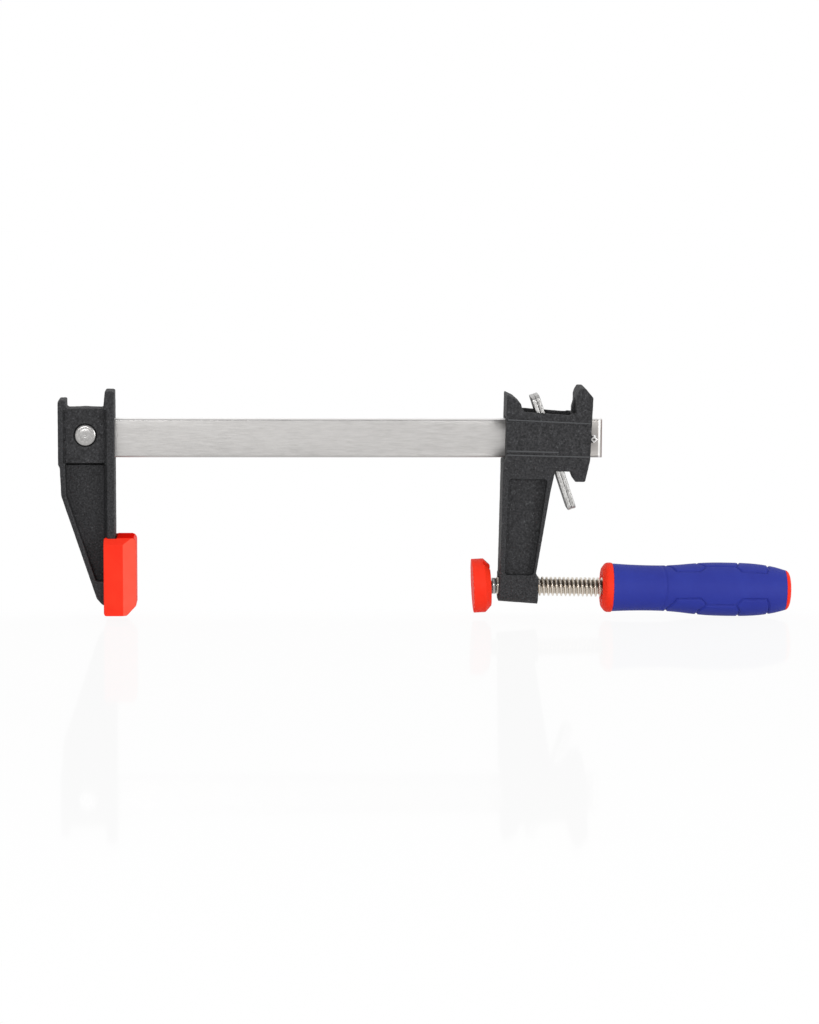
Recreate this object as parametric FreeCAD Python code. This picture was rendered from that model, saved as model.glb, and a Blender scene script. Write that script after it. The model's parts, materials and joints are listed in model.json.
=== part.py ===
import FreeCAD, Part
import math
import os

# Light bar clamp. A sliding head holds a flat steel bar by two tilted clutch plates, and an
# acme screw through the head's arm presses a swivelling pad towards the fixed jaw.
#
# Frame, in millimetres: the origin is the middle of the fixed pad's clamping face, on the
# level of the screw. +X runs along the bar from the fixed jaw to the handle, +Z points from
# the screw up to the bar, and Y is the clamp's width.
#
# The head hangs with a little slack on the bar, so its pieces are drawn upright in the head's
# own frame (x from the middle of the head, z from the screw's axis) and then tilted.

Vector = FreeCAD.Vector

# Clearances
FIXED_GAP = 0.05        # between pieces that are pressed or moulded together
THREAD_GAP = 0.10       # screw in its tapped hole, on the radius
BALL_GAP = 0.05         # ball in its socket, on the radius
TURN_GAP = 0.10         # moving pad on its disc
SLIDE_GAP = 0.30        # head and plates on the bar
PLATE_SIDE_GAP = 0.40   # plates in the head's chamber, each side

# Bar
BAR_HEIGHT = 19.05
BAR_THICKNESS = 4.76
BAR_END = 227.5         # right end, from the fixed pad's face
BAR_EDGE_RADIUS = 1.3
BAR_END_CHAMFER = 1.5
BAR_END_DRAW = 0.7      # that chamfer across the bar
THROAT = 64.0           # bar's lower edge to the screw's axis
BAR_BOTTOM = THROAT
BAR_TOP = BAR_BOTTOM + BAR_HEIGHT
BAR_MID = BAR_BOTTOM + BAR_HEIGHT / 2

# Fixed jaw
JAW_WIDTH = 19.0        # across the flanges
JAW_DEPTH = 26.6        # clamping face to the back of the outer flange
CLAMP_FLANGE = 2.9
OUTER_FLANGE = 2.5
JAW_WEB = 5.5
JAW_BLOCK = 12.4        # thicker part of the web, round the bar
JAW_BLOCK_DROP = 2.2    # block below the bar
JAW_BLOCK_RISE = 5.1    # block above the bar
OUTER_HORN_RISE = 9.4
CLAMP_HORN_RISE = 13.8
JAW_CROWN = 0.3         # rise of the block's top in the middle
HORN_DRAFT = 15.0       # degrees that the horns draw in, each side
JAW_BEND = 46.0         # level where the outer flange starts to slant
JAW_BEND_INSET = 1.4    # outer flange at the bend, in from its top
JAW_STEP = 0.8          # and at the step under the block
JAW_STEP_DROP = 4.4     # step below the bar
JAW_TOE = 7.8           # jaw's tip below the screw's axis
JAW_TOE_THICKNESS = 5.4
JAW_TOE_RISE = 3.2      # end of the slant above the tip
JAW_TOE_FLARE = 2.9     # and out from the tip
JAW_POCKET_FLOOR = 4.0  # level where the web's pocket ends
JAW_POCKET_CORNER = 1.2
HORN_FILLET = 1.4       # at the foot of the horns
HORN_LEAN = 0.8         # clamping horn's back, over its height
JAW_BEND_CORNER = 6.0
JAW_HEEL_CORNER = 3.0   # where the slant ends
JAW_TIP_CORNERS = (1.0, 2.5)   # at the clamping face and behind it

# Rivet through the fixed jaw and the bar
RIVET_HEAD = 10.0       # diameter
RIVET_HEAD_DEPTH = 1.6
RIVET_SHANK = 7.0
RIVET_FROM_FACE = 13.0  # behind the jaw's clamping face
RIVET_LIFT = 1.8        # above the bar's middle
RIVET_PROUD = 0.4

# Plastic pad on the fixed jaw
PAD_FRONT = 10.8        # clamping face to the jaw's flange
PAD_BACK = 15.6         # clamping face to the back of the side walls
PAD_WIDTH = 25.0
PAD_BEVEL_DEPTH = 6.3   # bevels beside the clamping face, from the face
PAD_TOP = 25.4
PAD_BOTTOM = -12.6
PAD_TOP_BEVEL = 3.0
PAD_TOE_BEVEL = 4.5
PAD_LIP_REACH = 2.6     # lips behind the flange, inwards
PAD_LEAD = (1.4, 4.0)   # bevel that leads the flange into its slot: across and down
PAD_MOUTH_RISE = 2.0    # wider mouth for the jaw's toe, above its pocket floor
PAD_CORNERS = (1.4, 1.0, 1.0, 2.4, 1.0)     # round the side view, from the lower back corner
PAD_BEVEL_DRAW = 4.5    # that bevel across the pad

# Pin that keeps the head on the bar
STOP_PIN = 3.2          # diameter
STOP_PROUD = 1.2
STOP_SLACK = 0.5        # head to pin at rest

# Sliding head
HEAD_AT = 201.0         # middle of the head, from the fixed pad's face
HEAD_TILT = 1.05        # degrees of slack on the bar, top towards the handle
HEAD_WIDTH = 22.0
HEAD_FRONT = -21.3
HEAD_REAR = 20.2
HEAD_LENGTH = HEAD_REAR - HEAD_FRONT
WALL = 2.8              # side walls of the plate chamber
WALL_RISE_FRONT = 4.1   # side walls above the bar
WALL_RISE_REAR = 2.7
FRONT_HORN_RISE = 12.3
FRONT_HORN_CUTS = ((4.0, 1.8), (6.9, 4.3))  # ends of its slopes, inwards and down from the tip
REAR_HORN_RISE = 16.0
REAR_HORN_CUT = (3.2, 4.6)      # bevel at its top rear corner
HORN_CORNER = 0.6
BODY_DROP = 5.9         # side walls below the bar
LUG_DROP = 10.9         # lug behind the plates, below the bar
LUG_CORNER = 0.8
LUG_INSET = 2.0         # rear edge drawn in at the lug's foot
CHAMBER_FRONT = -12.2
CHAMBER_REAR = 11.2
WALL_CORNER = 2.0       # where the side walls rise into the horns
ENTRY_RECESS = 1.3      # shallow channel in the front face where the bar enters
ENTRY_DROP = 2.2        # channel below the bar
ENTRY_SLOPE = 1.6       # height of its slanting ends
NOSE_RADIUS = 1.0       # rounded edge that the plates rock on
NOSE_AT = 2.2
BEAD_WIDTH = 1.5
BEAD_PROUD = 0.55
BEADS = ((18.0, False), (1.5, False), (3.3, True))  # height above the bar's foot, short or not
BODY_WAIST = 1.5        # body narrows by this much each side towards the arm

# Arm and screw boss
ARM_WIDTH = 19.0
ARM_WEB = 6.0
ARM_FRONT_FLANGE = 2.9
ARM_REAR_FLANGE = 2.3
ARM_FOOT_REAR = -3.5    # rear edge where the arm meets the boss
ARM_KNEE_REAR = 1.1     # rear edge where it starts to flare into the body
ARM_KNEE_DROP = 18.0    # that place below the bar
ARM_KNEE_BENDS = (30.0, 12.0)   # radii of the rear edge there and above
ARM_FLARE_RISE = 5.5    # from the knee to the start of the flare
ARM_FOOT_RISE = 2.5     # rear edge's foot above the boss
POCKET_CORNER = 1.6
POCKET_DROP = 4.0       # pocket's top below the body
POCKET_RISE = 2.2       # its foot above the boss
BOSS_FRONT = -22.4
BOSS_REAR = -2.1
BOSS_WIDTH = 20.0
BOSS_RISE = 5.6
BOSS_DROP_FRONT = 7.0
BOSS_DROP_REAR = 8.0
BOSS_CORNER = 5.5
BOSS_TAPER = 1.4        # narrower at the front

# Clutch plates
PLATE_THICKNESS = 2.1
PLATE_TILT = 18.7       # degrees, top towards the fixed jaw
PLATE_ABOVE_NOSE = 37.4
PLATE_BELOW_NOSE = 21.3
PLATE_CORNER = 2.4
PLATE_BITE = 0.15       # slack left between slot and bar at rest
NOSE_GAP = 0.10

# Clutch spring, in a channel under the bar behind the plates
SPRING_WIRE = 0.6
SPRING_DIAMETER = 4.0   # outside
SPRING_DROP = 3.1       # axis below the bar
SPRING_SEAT = HEAD_REAR - 2.5   # end of its channel

# Screw
SCREW_DIAMETER = 9.525
SCREW_NOSE = 8.3        # plain end in front of the thread, diameter
SCREW_THREAD_START = -21.0
SCREW_TAPER = 0.6       # lead-in of the thread
SCREW_TAIL = 7.6        # diameter inside the handle
TAIL_FLAT = 3.2         # screw's axis to the tail's flats
TAIL_START = 2.0        # tail's shoulder behind the handle's front
FLAT_START = 14.0       # and where its flats start
TAIL_GAP = 4.0          # tail's end to the plug
BALL_DIAMETER = 6.4
BALL_AT = -29.2
NECK_DIAMETER = 4.4
COLLAR_LENGTH = 1.8
COLLAR_DIAMETER = 8.3

# Swivel and moving pad
PAD_LEAN = 3.8          # degrees, top towards the fixed jaw, measured from the screw
CAP_DIAMETER = 26.5
CAP_THICKNESS = 8.8
CAP_RIM = 5.8           # straight part of the edge
CAP_BACK_DIAMETER = 20.4
CAP_OPENING = 17.0
CAP_FACE_WALL = 2.0
CAP_FRONT_TO_BALL = 5.8
CAP_SLOTS = 2
CAP_SLOT_TURN = 24.0    # degrees from the top to the first slot
CAP_SLOT_WIDTH = 3.2
CAP_SLOT_WALL = 1.0     # plastic left between disc and slots
DISC_DIAMETER = 21.0
DISC_THICKNESS = 2.4
SOCKET_DIAMETER = 11.6
SOCKET_DEPTH = 3.0      # behind the ball's middle
TILT_ROOM = 0.8         # behind the socket, so that the pad can tilt
SOCKET_MOUTH = 5.8      # diameter

# Handle
HANDLE_FRONT = 29.4     # collar's front face, from the middle of the head
COLLAR_WIDTH = 5.2
COLLAR_BEVEL = 2.5
HANDLE_COLLAR = 24.4    # diameter
GRIP_LENGTH = 84.9
GRIP_BACK = 19.7        # diameter at the rear end
GRIP_OUTLINE = (        # diameters along it, by share of the length: waist, belly, rear end
    (0, 23.3), (0.10, 22.1), (0.30, 22.1), (0.54, 26.3), (0.74, 26.3), (0.87, 24.7), (1, GRIP_BACK),
)
CORE_DIAMETER = 15.0
CAP_DOME = 2.6
PLUG_DIAMETER = 9.0
PLUG_LENGTH = 9.0


def corner_edges(points):
    """Edges of a closed outline in the XZ plane. A point is (x, z) or (x, z, corner radius)."""
    corners = []
    for i, point in enumerate(points):
        here = Vector(point[0], 0, point[1])
        radius = point[2] if len(point) > 2 else 0
        if not radius:
            corners.append((here, None, here))
            continue
        before, after = points[i - 1], points[(i + 1) % len(points)]
        back = (Vector(before[0], 0, before[1]) - here).normalize()
        ahead = (Vector(after[0], 0, after[1]) - here).normalize()
        half = back.getAngle(ahead) / 2
        middle = (back + ahead).normalize()
        start = here + back * (radius / math.tan(half))
        end = here + ahead * (radius / math.tan(half))
        crown = here + middle * (radius / math.sin(half) - radius)
        corners.append((start, crown, end))
    edges = []
    for i, (start, crown, end) in enumerate(corners):
        if crown:
            edges.append(Part.Arc(start, crown, end).toShape())
        following = corners[(i + 1) % len(corners)][0]
        if (following - end).Length > 1e-6:
            edges.append(Part.LineSegment(end, following).toShape())
    return edges


def slab(points, width):
    """A closed XZ outline, as thick as width across the clamp's middle plane."""
    face = Part.Face(Part.Wire(corner_edges(points)))
    face.translate(Vector(0, -width / 2, 0))
    return face.extrude(Vector(0, width, 0))


def beam(points, x0, x1):
    """A closed (y, z) outline, extruded along X."""
    corners = [Vector(x0, y, z) for y, z in points]
    return Part.Face(Part.makePolygon(corners + corners[:1])).extrude(Vector(x1 - x0, 0, 0))


def post(points, z0, z1):
    """A closed (x, y) outline, extruded along Z."""
    corners = [Vector(x, y, z0) for x, y in points]
    return Part.Face(Part.makePolygon(corners + corners[:1])).extrude(Vector(0, 0, z1 - z0))


def turned(points):
    """A closed outline of (x, radius) points, turned about the X axis."""
    face = Part.Face(Part.Wire(corner_edges(points)))
    return face.revolve(Vector(0, 0, 0), Vector(1, 0, 0), 360)


def block(x0, x1, width, z0, z1):
    """A box centred on the clamp's middle plane."""
    return Part.makeBox(x1 - x0, width, z1 - z0, Vector(x0, -width / 2, z0))


def rod_x(diameter, x0, x1, z=0.0):
    """A round rod along X."""
    return Part.makeCylinder(diameter / 2, x1 - x0, Vector(x0, 0, z), Vector(1, 0, 0))


def rod_y(diameter, length, x, z):
    """A round rod across the clamp."""
    return Part.makeCylinder(diameter / 2, length, Vector(x, -length / 2, z), Vector(0, 1, 0))


def both_sides(shape):
    """A shape and its mirror image across the clamp's middle plane."""
    return [shape, shape.mirror(Vector(0, 0, 0), Vector(0, 1, 0))]


def tilted(shape):
    """A shape drawn in the head's frame, in its place on the bar."""
    placed = shape.copy()
    placed.rotate(Vector(0, 0, BAR_MID), Vector(0, 1, 0), HEAD_TILT)
    placed.translate(Vector(HEAD_AT, 0, 0))
    return placed


def tilted_point(x, z):
    """A point of the head's frame, as (X, Z) on the clamp."""
    a = math.radians(HEAD_TILT)
    lift = z - BAR_MID
    return (HEAD_AT + x * math.cos(a) + lift * math.sin(a),
            BAR_MID - x * math.sin(a) + lift * math.cos(a))


def save(shape, node):
    """One sub-part, written under its node's name."""
    shape = shape.removeSplitter()
    if not shape.isValid() or not shape.Solids:
        raise ValueError(node + " is not a valid solid")
    shape.exportStep("parts/" + node + ".step")
    print(node, "solids", len(shape.Solids), "volume", round(shape.Volume, 1))


# Bar, with its rivet and stop pin

JAW_FACE = -PAD_FRONT
JAW_OUTER = JAW_FACE - JAW_DEPTH
BAR_START = JAW_OUTER + OUTER_FLANGE + SLIDE_GAP
RIVET_X = JAW_FACE - RIVET_FROM_FACE
RIVET_Z = BAR_MID + RIVET_LIFT
STOP_X = tilted_point(HEAD_REAR, BAR_MID)[0] + STOP_SLACK + STOP_PIN / 2


def make_bar():
    bar = block(BAR_START, BAR_END, BAR_THICKNESS, BAR_BOTTOM, BAR_TOP)
    long_edges = [e for e in bar.Edges if abs(e.tangentAt(e.FirstParameter).x) > 0.9]
    bar = bar.makeFillet(BAR_EDGE_RADIUS, long_edges)
    # The sawn end is bevelled on its two sides
    half = BAR_THICKNESS / 2
    bevel = post([(BAR_END - BAR_END_CHAMFER, half), (BAR_END, half - BAR_END_DRAW),
                  (BAR_END + 1, half + 1)], BAR_BOTTOM - 1, BAR_TOP + 1)
    for cutter in both_sides(bevel):
        bar = bar.cut(cutter)
    bar = bar.cut(rod_y(RIVET_SHANK + 2 * FIXED_GAP, BAR_THICKNESS * 2, RIVET_X, RIVET_Z))
    return bar.cut(rod_y(STOP_PIN + 2 * FIXED_GAP, BAR_THICKNESS * 2, STOP_X, BAR_MID))


def make_rivet():
    length = JAW_BLOCK + 2 * RIVET_PROUD
    rivet = rod_y(RIVET_SHANK, length, RIVET_X, RIVET_Z)
    for side in (-1, 1):
        face = side * length / 2
        inner = side * (length / 2 - RIVET_HEAD_DEPTH)
        head = Part.makeCylinder(RIVET_HEAD / 2, RIVET_HEAD_DEPTH,
                                 Vector(RIVET_X, min(face, inner), RIVET_Z), Vector(0, 1, 0))
        rivet = rivet.fuse(head)
    return rivet


def make_stop_pin():
    return rod_y(STOP_PIN, BAR_THICKNESS + 2 * STOP_PROUD, STOP_X, BAR_MID)


# Fixed jaw and its pad

def make_fixed_jaw():
    outer, face = JAW_OUTER, JAW_FACE
    inner, flange = outer + OUTER_FLANGE, face - CLAMP_FLANGE
    top = BAR_TOP + JAW_BLOCK_RISE
    low = BAR_BOTTOM - JAW_BLOCK_DROP
    step = BAR_BOTTOM - JAW_STEP_DROP
    bend = outer + JAW_BEND_INSET
    slant_x = face - JAW_TOE_THICKNESS - JAW_TOE_FLARE
    slant_z = JAW_TOE_RISE - JAW_TOE
    outer_horn, clamp_horn = BAR_TOP + OUTER_HORN_RISE, BAR_TOP + CLAMP_HORN_RISE
    jaw = slab([
        (outer, outer_horn, OUTER_FLANGE * 0.4),
        (inner, outer_horn, OUTER_FLANGE * 0.2),
        (inner, top, HORN_FILLET),
        ((inner + flange) / 2, top + JAW_CROWN, JAW_DEPTH),
        (flange, top, HORN_FILLET),
        (flange + HORN_LEAN, clamp_horn, CLAMP_FLANGE * 0.2),
        (face, clamp_horn, CLAMP_FLANGE * 0.2),
        (face, -JAW_TOE, JAW_TIP_CORNERS[0]),
        (face - JAW_TOE_THICKNESS, -JAW_TOE, JAW_TIP_CORNERS[1]),
        (slant_x, slant_z, JAW_HEEL_CORNER),
        (bend, JAW_BEND, JAW_BEND_CORNER),
        (outer + JAW_STEP, step),
        (outer, step + 2 * JAW_STEP),
    ], JAW_WIDTH)
    # Pockets each side of the web, along the slanting flange, and shallower round the bar
    run = (slant_x - bend) / (JAW_BEND - slant_z)
    floor = JAW_POCKET_FLOOR
    deep = slab([
        (inner + JAW_STEP, low, JAW_STEP),
        (flange, low, JAW_STEP),
        (flange, floor, JAW_POCKET_CORNER),
        (bend + OUTER_FLANGE + run * (JAW_BEND - floor), floor, JAW_POCKET_CORNER),
        (bend + OUTER_FLANGE, JAW_BEND, JAW_BEND_CORNER),
    ], (JAW_WIDTH - JAW_WEB) / 2)
    deep.translate(Vector(0, (JAW_WIDTH + JAW_WEB) / 4, 0))
    shallow = slab([
        (inner, low),
        (flange, low),
        (flange, clamp_horn + 1),
        (inner, clamp_horn + 1),
    ], (JAW_WIDTH - JAW_BLOCK) / 2)
    shallow.translate(Vector(0, (JAW_WIDTH + JAW_BLOCK) / 4, 0))
    # The horns draw in towards their tops
    half, rise = JAW_WIDTH / 2, clamp_horn + 1 - top
    drawn_in = half - rise * math.tan(math.radians(HORN_DRAFT))
    draft = beam([(half, top), (drawn_in, top + rise), (half + 1, top + rise)], outer - 1, face + 1)
    for cutter in both_sides(deep) + both_sides(shallow) + both_sides(draft):
        jaw = jaw.cut(cutter)
    # Seat for the bar, blind at the outer flange
    jaw = jaw.cut(block(BAR_START - SLIDE_GAP, face + 1, BAR_THICKNESS + 2 * FIXED_GAP,
                        BAR_BOTTOM - FIXED_GAP, BAR_TOP + FIXED_GAP))
    jaw = jaw.cut(rod_y(RIVET_SHANK + 2 * FIXED_GAP, JAW_WIDTH, RIVET_X, RIVET_Z))
    sink = JAW_BLOCK / 2 + RIVET_PROUD - RIVET_HEAD_DEPTH - FIXED_GAP
    seat = Part.makeCylinder(RIVET_HEAD / 2 + FIXED_GAP, RIVET_HEAD_DEPTH * 2,
                             Vector(RIVET_X, sink, RIVET_Z), Vector(0, 1, 0))
    for cutter in both_sides(seat):
        jaw = jaw.cut(cutter)
    return jaw


def make_fixed_pad():
    outline = [
        (-PAD_BACK, PAD_BOTTOM),
        (-PAD_TOE_BEVEL, PAD_BOTTOM),
        (0, PAD_BOTTOM + PAD_TOE_BEVEL),
        (0, PAD_TOP),
        (-PAD_BACK, PAD_TOP),
    ]
    pad = slab([(x, z, corner) for (x, z), corner in zip(outline, PAD_CORNERS)], PAD_WIDTH)
    half = PAD_WIDTH / 2
    # Bevelled upright edges beside the clamping face
    slope = PAD_BEVEL_DRAW / PAD_BEVEL_DEPTH
    edge = post([(-PAD_BEVEL_DEPTH, half), (1, half - PAD_BEVEL_DRAW - slope), (1, half + 1)],
                PAD_BOTTOM - 1, PAD_TOP + 1)
    # Bevelled tops of the side walls
    top = beam([(half - PAD_TOP_BEVEL, PAD_TOP), (half + 1, PAD_TOP - PAD_TOP_BEVEL - 1),
                (half + 1, PAD_TOP + 1)], -PAD_BACK - 1, 1)
    for cutter in both_sides(edge) + both_sides(top):
        pad = pad.cut(cutter)
    # Channel for the jaw: the flange's slot, open at the top, and the wider mouth for the web
    slot_width = JAW_WIDTH + 2 * FIXED_GAP
    toe = -JAW_TOE - FIXED_GAP
    lip = PAD_FRONT + CLAMP_FLANGE + FIXED_GAP
    slot_face = JAW_FACE + FIXED_GAP
    pad = pad.cut(block(-lip, slot_face, slot_width, toe, PAD_TOP + 1))
    rear = -PAD_BACK - 1
    pad = pad.cut(block(rear, -lip, slot_width - 2 * PAD_LIP_REACH, toe, PAD_TOP + 1))
    pad = pad.cut(block(rear, -lip, slot_width, toe, JAW_POCKET_FLOOR + PAD_MOUTH_RISE))
    across, down = PAD_LEAD
    lead = slab([(slot_face - 1, PAD_TOP - down), (slot_face, PAD_TOP - down), (slot_face + across, PAD_TOP),
                 (slot_face + across, PAD_TOP + 1), (slot_face - 1, PAD_TOP + 1)], slot_width)
    return pad.cut(lead)


# Sliding head

BAR_SLOT_HALF = (BAR_HEIGHT + HEAD_LENGTH * math.tan(math.radians(HEAD_TILT))) / 2 + SLIDE_GAP
CHAMBER_WIDTH = HEAD_WIDTH - 2 * WALL
PLATE_WIDTH = CHAMBER_WIDTH - 2 * PLATE_SIDE_GAP
FLOOR = BAR_BOTTOM - BODY_DROP
NOSE_Z = FLOOR + 0.2


def make_head_body():
    """The part round the bar: side walls, horns, rear lug and beads."""
    front_top, rear_top = BAR_TOP + WALL_RISE_FRONT, BAR_TOP + WALL_RISE_REAR
    tip, crest = BAR_TOP + FRONT_HORN_RISE, BAR_TOP + REAR_HORN_RISE
    (in_a, down_a), (in_b, down_b) = FRONT_HORN_CUTS
    in_rear, down_rear = REAR_HORN_CUT
    lug, waist = BAR_BOTTOM - LUG_DROP, FLOOR - 3
    body = slab([
        (HEAD_FRONT, waist),
        (HEAD_FRONT, tip, HORN_CORNER / 2),
        (HEAD_FRONT + in_a, tip - down_a, HORN_CORNER),
        (HEAD_FRONT + in_b, tip - down_b, HORN_CORNER),
        (CHAMBER_FRONT - WALL_CORNER / 2, front_top, WALL_CORNER / 2),
        (CHAMBER_REAR - WALL_CORNER / 2, rear_top, WALL_CORNER),
        (CHAMBER_REAR + WALL_CORNER, crest - WALL_CORNER, HORN_CORNER),
        (CHAMBER_REAR + 1.6 * WALL_CORNER, crest, HORN_CORNER),
        (HEAD_REAR - in_rear, crest, HORN_CORNER),
        (HEAD_REAR, crest - down_rear, HORN_CORNER),
        (HEAD_REAR, BAR_BOTTOM),
        (HEAD_REAR - LUG_INSET, lug, LUG_CORNER),
        (CHAMBER_REAR + LUG_INSET, lug, LUG_CORNER),
        (CHAMBER_REAR, FLOOR, LUG_CORNER),
        (NOSE_AT + NOSE_RADIUS, FLOOR),
        (NOSE_AT, waist),
    ], HEAD_WIDTH)
    half, start = HEAD_WIDTH / 2, HEAD_FRONT + ENTRY_RECESS
    for height, short in BEADS:
        level, end = BAR_BOTTOM + height, NOSE_AT if short else HEAD_REAR - BEAD_WIDTH / 2
        bead = beam([(half - BEAD_PROUD, level - BEAD_WIDTH), (half + BEAD_PROUD, level),
                     (half - BEAD_PROUD, level + BEAD_WIDTH)], start, end)
        body = body.fuse(both_sides(bead))
    # The body's sides draw in below the bar, down to the arm's width
    inset = half - BODY_WAIST
    waist_cut = beam([(half, BAR_BOTTOM), (inset, FLOOR - BODY_WAIST), (inset, lug - 1),
                      (half + 1, lug - 1), (half + 1, BAR_BOTTOM)], HEAD_FRONT - 1, HEAD_REAR + 1)
    for cutter in both_sides(waist_cut):
        body = body.cut(cutter)
    return body


def make_arm():
    """The arm from the body down to the boss, with a shallow pocket on each side."""
    knee, foot = BAR_BOTTOM - ARM_KNEE_DROP, BOSS_RISE + ARM_FOOT_RISE
    bend_low, bend_high = ARM_KNEE_BENDS
    arm = slab([
        (HEAD_FRONT, FLOOR),
        (HEAD_FRONT, 0),
        (ARM_FOOT_REAR, 0),
        (ARM_FOOT_REAR, foot),
        (ARM_KNEE_REAR, knee, bend_low),
        (ARM_KNEE_REAR + 1, knee + ARM_FLARE_RISE, bend_high),
        (NOSE_AT + NOSE_RADIUS, FLOOR - 1),
        (NOSE_AT + NOSE_RADIUS, FLOOR),
    ], ARM_WIDTH)
    slope = (ARM_KNEE_REAR - ARM_FOOT_REAR) / (knee - foot)
    top, low = FLOOR - POCKET_DROP, BOSS_RISE + POCKET_RISE
    front, rear = HEAD_FRONT + ARM_FRONT_FLANGE, ARM_FOOT_REAR - ARM_REAR_FLANGE
    pocket = slab([
        (front, top, POCKET_CORNER),
        (rear + slope * (top - foot), top, POCKET_CORNER),
        (rear + slope * (low - foot), low, POCKET_CORNER),
        (front - ARM_FRONT_FLANGE / 4, low, POCKET_CORNER),
    ], (ARM_WIDTH - ARM_WEB) / 2)
    pocket.translate(Vector(0, (ARM_WIDTH + ARM_WEB) / 4, 0))
    for cutter in both_sides(pocket):
        arm = arm.cut(cutter)
    return arm


def make_sliding_jaw():
    head = make_head_body().fuse([make_arm(), make_boss()])
    # Chamber for the plates, open above and below, with the nose that they rock on
    above, rear_top = BAR_TOP + REAR_HORN_RISE + 1, BAR_TOP + WALL_RISE_REAR
    behind_nose = NOSE_AT - NOSE_RADIUS / 2
    chamber = slab([
        (CHAMBER_FRONT, above),
        (CHAMBER_FRONT, BAR_TOP, WALL_CORNER),
        (behind_nose, NOSE_Z + NOSE_RADIUS),
        (behind_nose, NOSE_Z),
        (NOSE_AT + NOSE_RADIUS, FLOOR - 3),
        (CHAMBER_REAR, FLOOR - 6),
        (CHAMBER_REAR, FLOOR + WALL_CORNER),
        (CHAMBER_REAR, rear_top + WALL_CORNER),
        (CHAMBER_REAR, above),
    ], CHAMBER_WIDTH)
    head = head.cut(chamber)
    head = head.fuse(rod_y(2 * NOSE_RADIUS, CHAMBER_WIDTH + WALL, NOSE_AT, NOSE_Z))
    # Slot for the bar and the shallow channel in the front face
    head = head.cut(block(HEAD_FRONT - 1, HEAD_REAR + 1, BAR_THICKNESS + 2 * SLIDE_GAP,
                          BAR_MID - BAR_SLOT_HALF, BAR_MID + BAR_SLOT_HALF))
    low, high = BAR_BOTTOM - ENTRY_DROP, BAR_TOP - ENTRY_SLOPE / 2
    head = head.cut(slab([
        (HEAD_FRONT - 1, low),
        (HEAD_FRONT, low),
        (HEAD_FRONT + ENTRY_RECESS, low + ENTRY_SLOPE),
        (HEAD_FRONT + ENTRY_RECESS, high - ENTRY_SLOPE),
        (HEAD_FRONT, high),
        (HEAD_FRONT - 1, high),
    ], HEAD_WIDTH + 2))
    # Channel for the spring under the bar, open to the bar's slot
    spring_z, spring_room = BAR_BOTTOM - SPRING_DROP, SPRING_DIAMETER + 2 * SLIDE_GAP
    head = head.cut(rod_x(spring_room, CHAMBER_REAR - 1, SPRING_SEAT, spring_z))
    head = head.cut(block(CHAMBER_REAR - 1, SPRING_SEAT, spring_room, spring_z, BAR_BOTTOM))
    return head.cut(rod_x(SCREW_DIAMETER + 2 * THREAD_GAP, BOSS_FRONT - 1, BOSS_REAR + 1))


def boss_section(x, width, drop):
    """A U-shaped section of the screw boss, square to the screw."""
    half, r, top = width / 2, BOSS_CORNER, BOSS_RISE
    slack = r * (1 - math.sqrt(0.5))
    edges = [
        Part.LineSegment(Vector(x, half, top), Vector(x, half, r - drop)).toShape(),
        Part.Arc(Vector(x, half, r - drop), Vector(x, half - slack, slack - drop),
                 Vector(x, half - r, -drop)).toShape(),
        Part.LineSegment(Vector(x, half - r, -drop), Vector(x, r - half, -drop)).toShape(),
        Part.Arc(Vector(x, r - half, -drop), Vector(x, slack - half, slack - drop),
                 Vector(x, -half, r - drop)).toShape(),
        Part.LineSegment(Vector(x, -half, r - drop), Vector(x, -half, top)).toShape(),
        Part.LineSegment(Vector(x, -half, top), Vector(x, half, top)).toShape(),
    ]
    return Part.Wire(edges)


def make_boss():
    """Screw boss at the arm's foot, a little narrower and shallower at the front."""
    front = boss_section(BOSS_FRONT, BOSS_WIDTH - BOSS_TAPER, BOSS_DROP_FRONT)
    rear = boss_section(BOSS_REAR, BOSS_WIDTH, BOSS_DROP_REAR)
    return Part.makeLoft([front, rear], True, True)


# Clutch plates and their spring

NOSE_X_ON_CLAMP, NOSE_Z_ON_CLAMP = tilted_point(NOSE_AT, NOSE_Z)


def make_plate(order):
    """One clutch plate, counted from the nose. It is drawn upright and tipped about the nose."""
    a = math.radians(PLATE_TILT)
    front = NOSE_RADIUS + NOSE_GAP + order * PLATE_THICKNESS
    middle = front + PLATE_THICKNESS / 2
    half = PLATE_WIDTH / 2
    outline = slab([(-half, -PLATE_BELOW_NOSE, PLATE_CORNER), (half, -PLATE_BELOW_NOSE, PLATE_CORNER),
                    (half, PLATE_ABOVE_NOSE, PLATE_CORNER), (-half, PLATE_ABOVE_NOSE, PLATE_CORNER)],
                   PLATE_THICKNESS)
    # The slot lets the bar through at this tilt, with its middle on the bar's middle
    height = (BAR_HEIGHT + PLATE_THICKNESS * math.sin(a)) / math.cos(a) + 2 * PLATE_BITE
    centre = (BAR_MID - NOSE_Z_ON_CLAMP - middle * math.sin(a)) / math.cos(a)
    slot_half = BAR_THICKNESS / 2 + SLIDE_GAP
    slot = slab([(-slot_half, centre - height / 2), (slot_half, centre - height / 2),
                 (slot_half, centre + height / 2), (-slot_half, centre + height / 2)],
                PLATE_THICKNESS * 2)
    plate = outline.cut(slot)
    plate.rotate(Vector(0, 0, 0), Vector(0, 0, 1), 90)
    plate.translate(Vector(middle, 0, 0))
    plate.rotate(Vector(0, 0, 0), Vector(0, 1, 0), -PLATE_TILT)
    plate.translate(Vector(NOSE_X_ON_CLAMP, 0, NOSE_Z_ON_CLAMP))
    return plate


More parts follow.
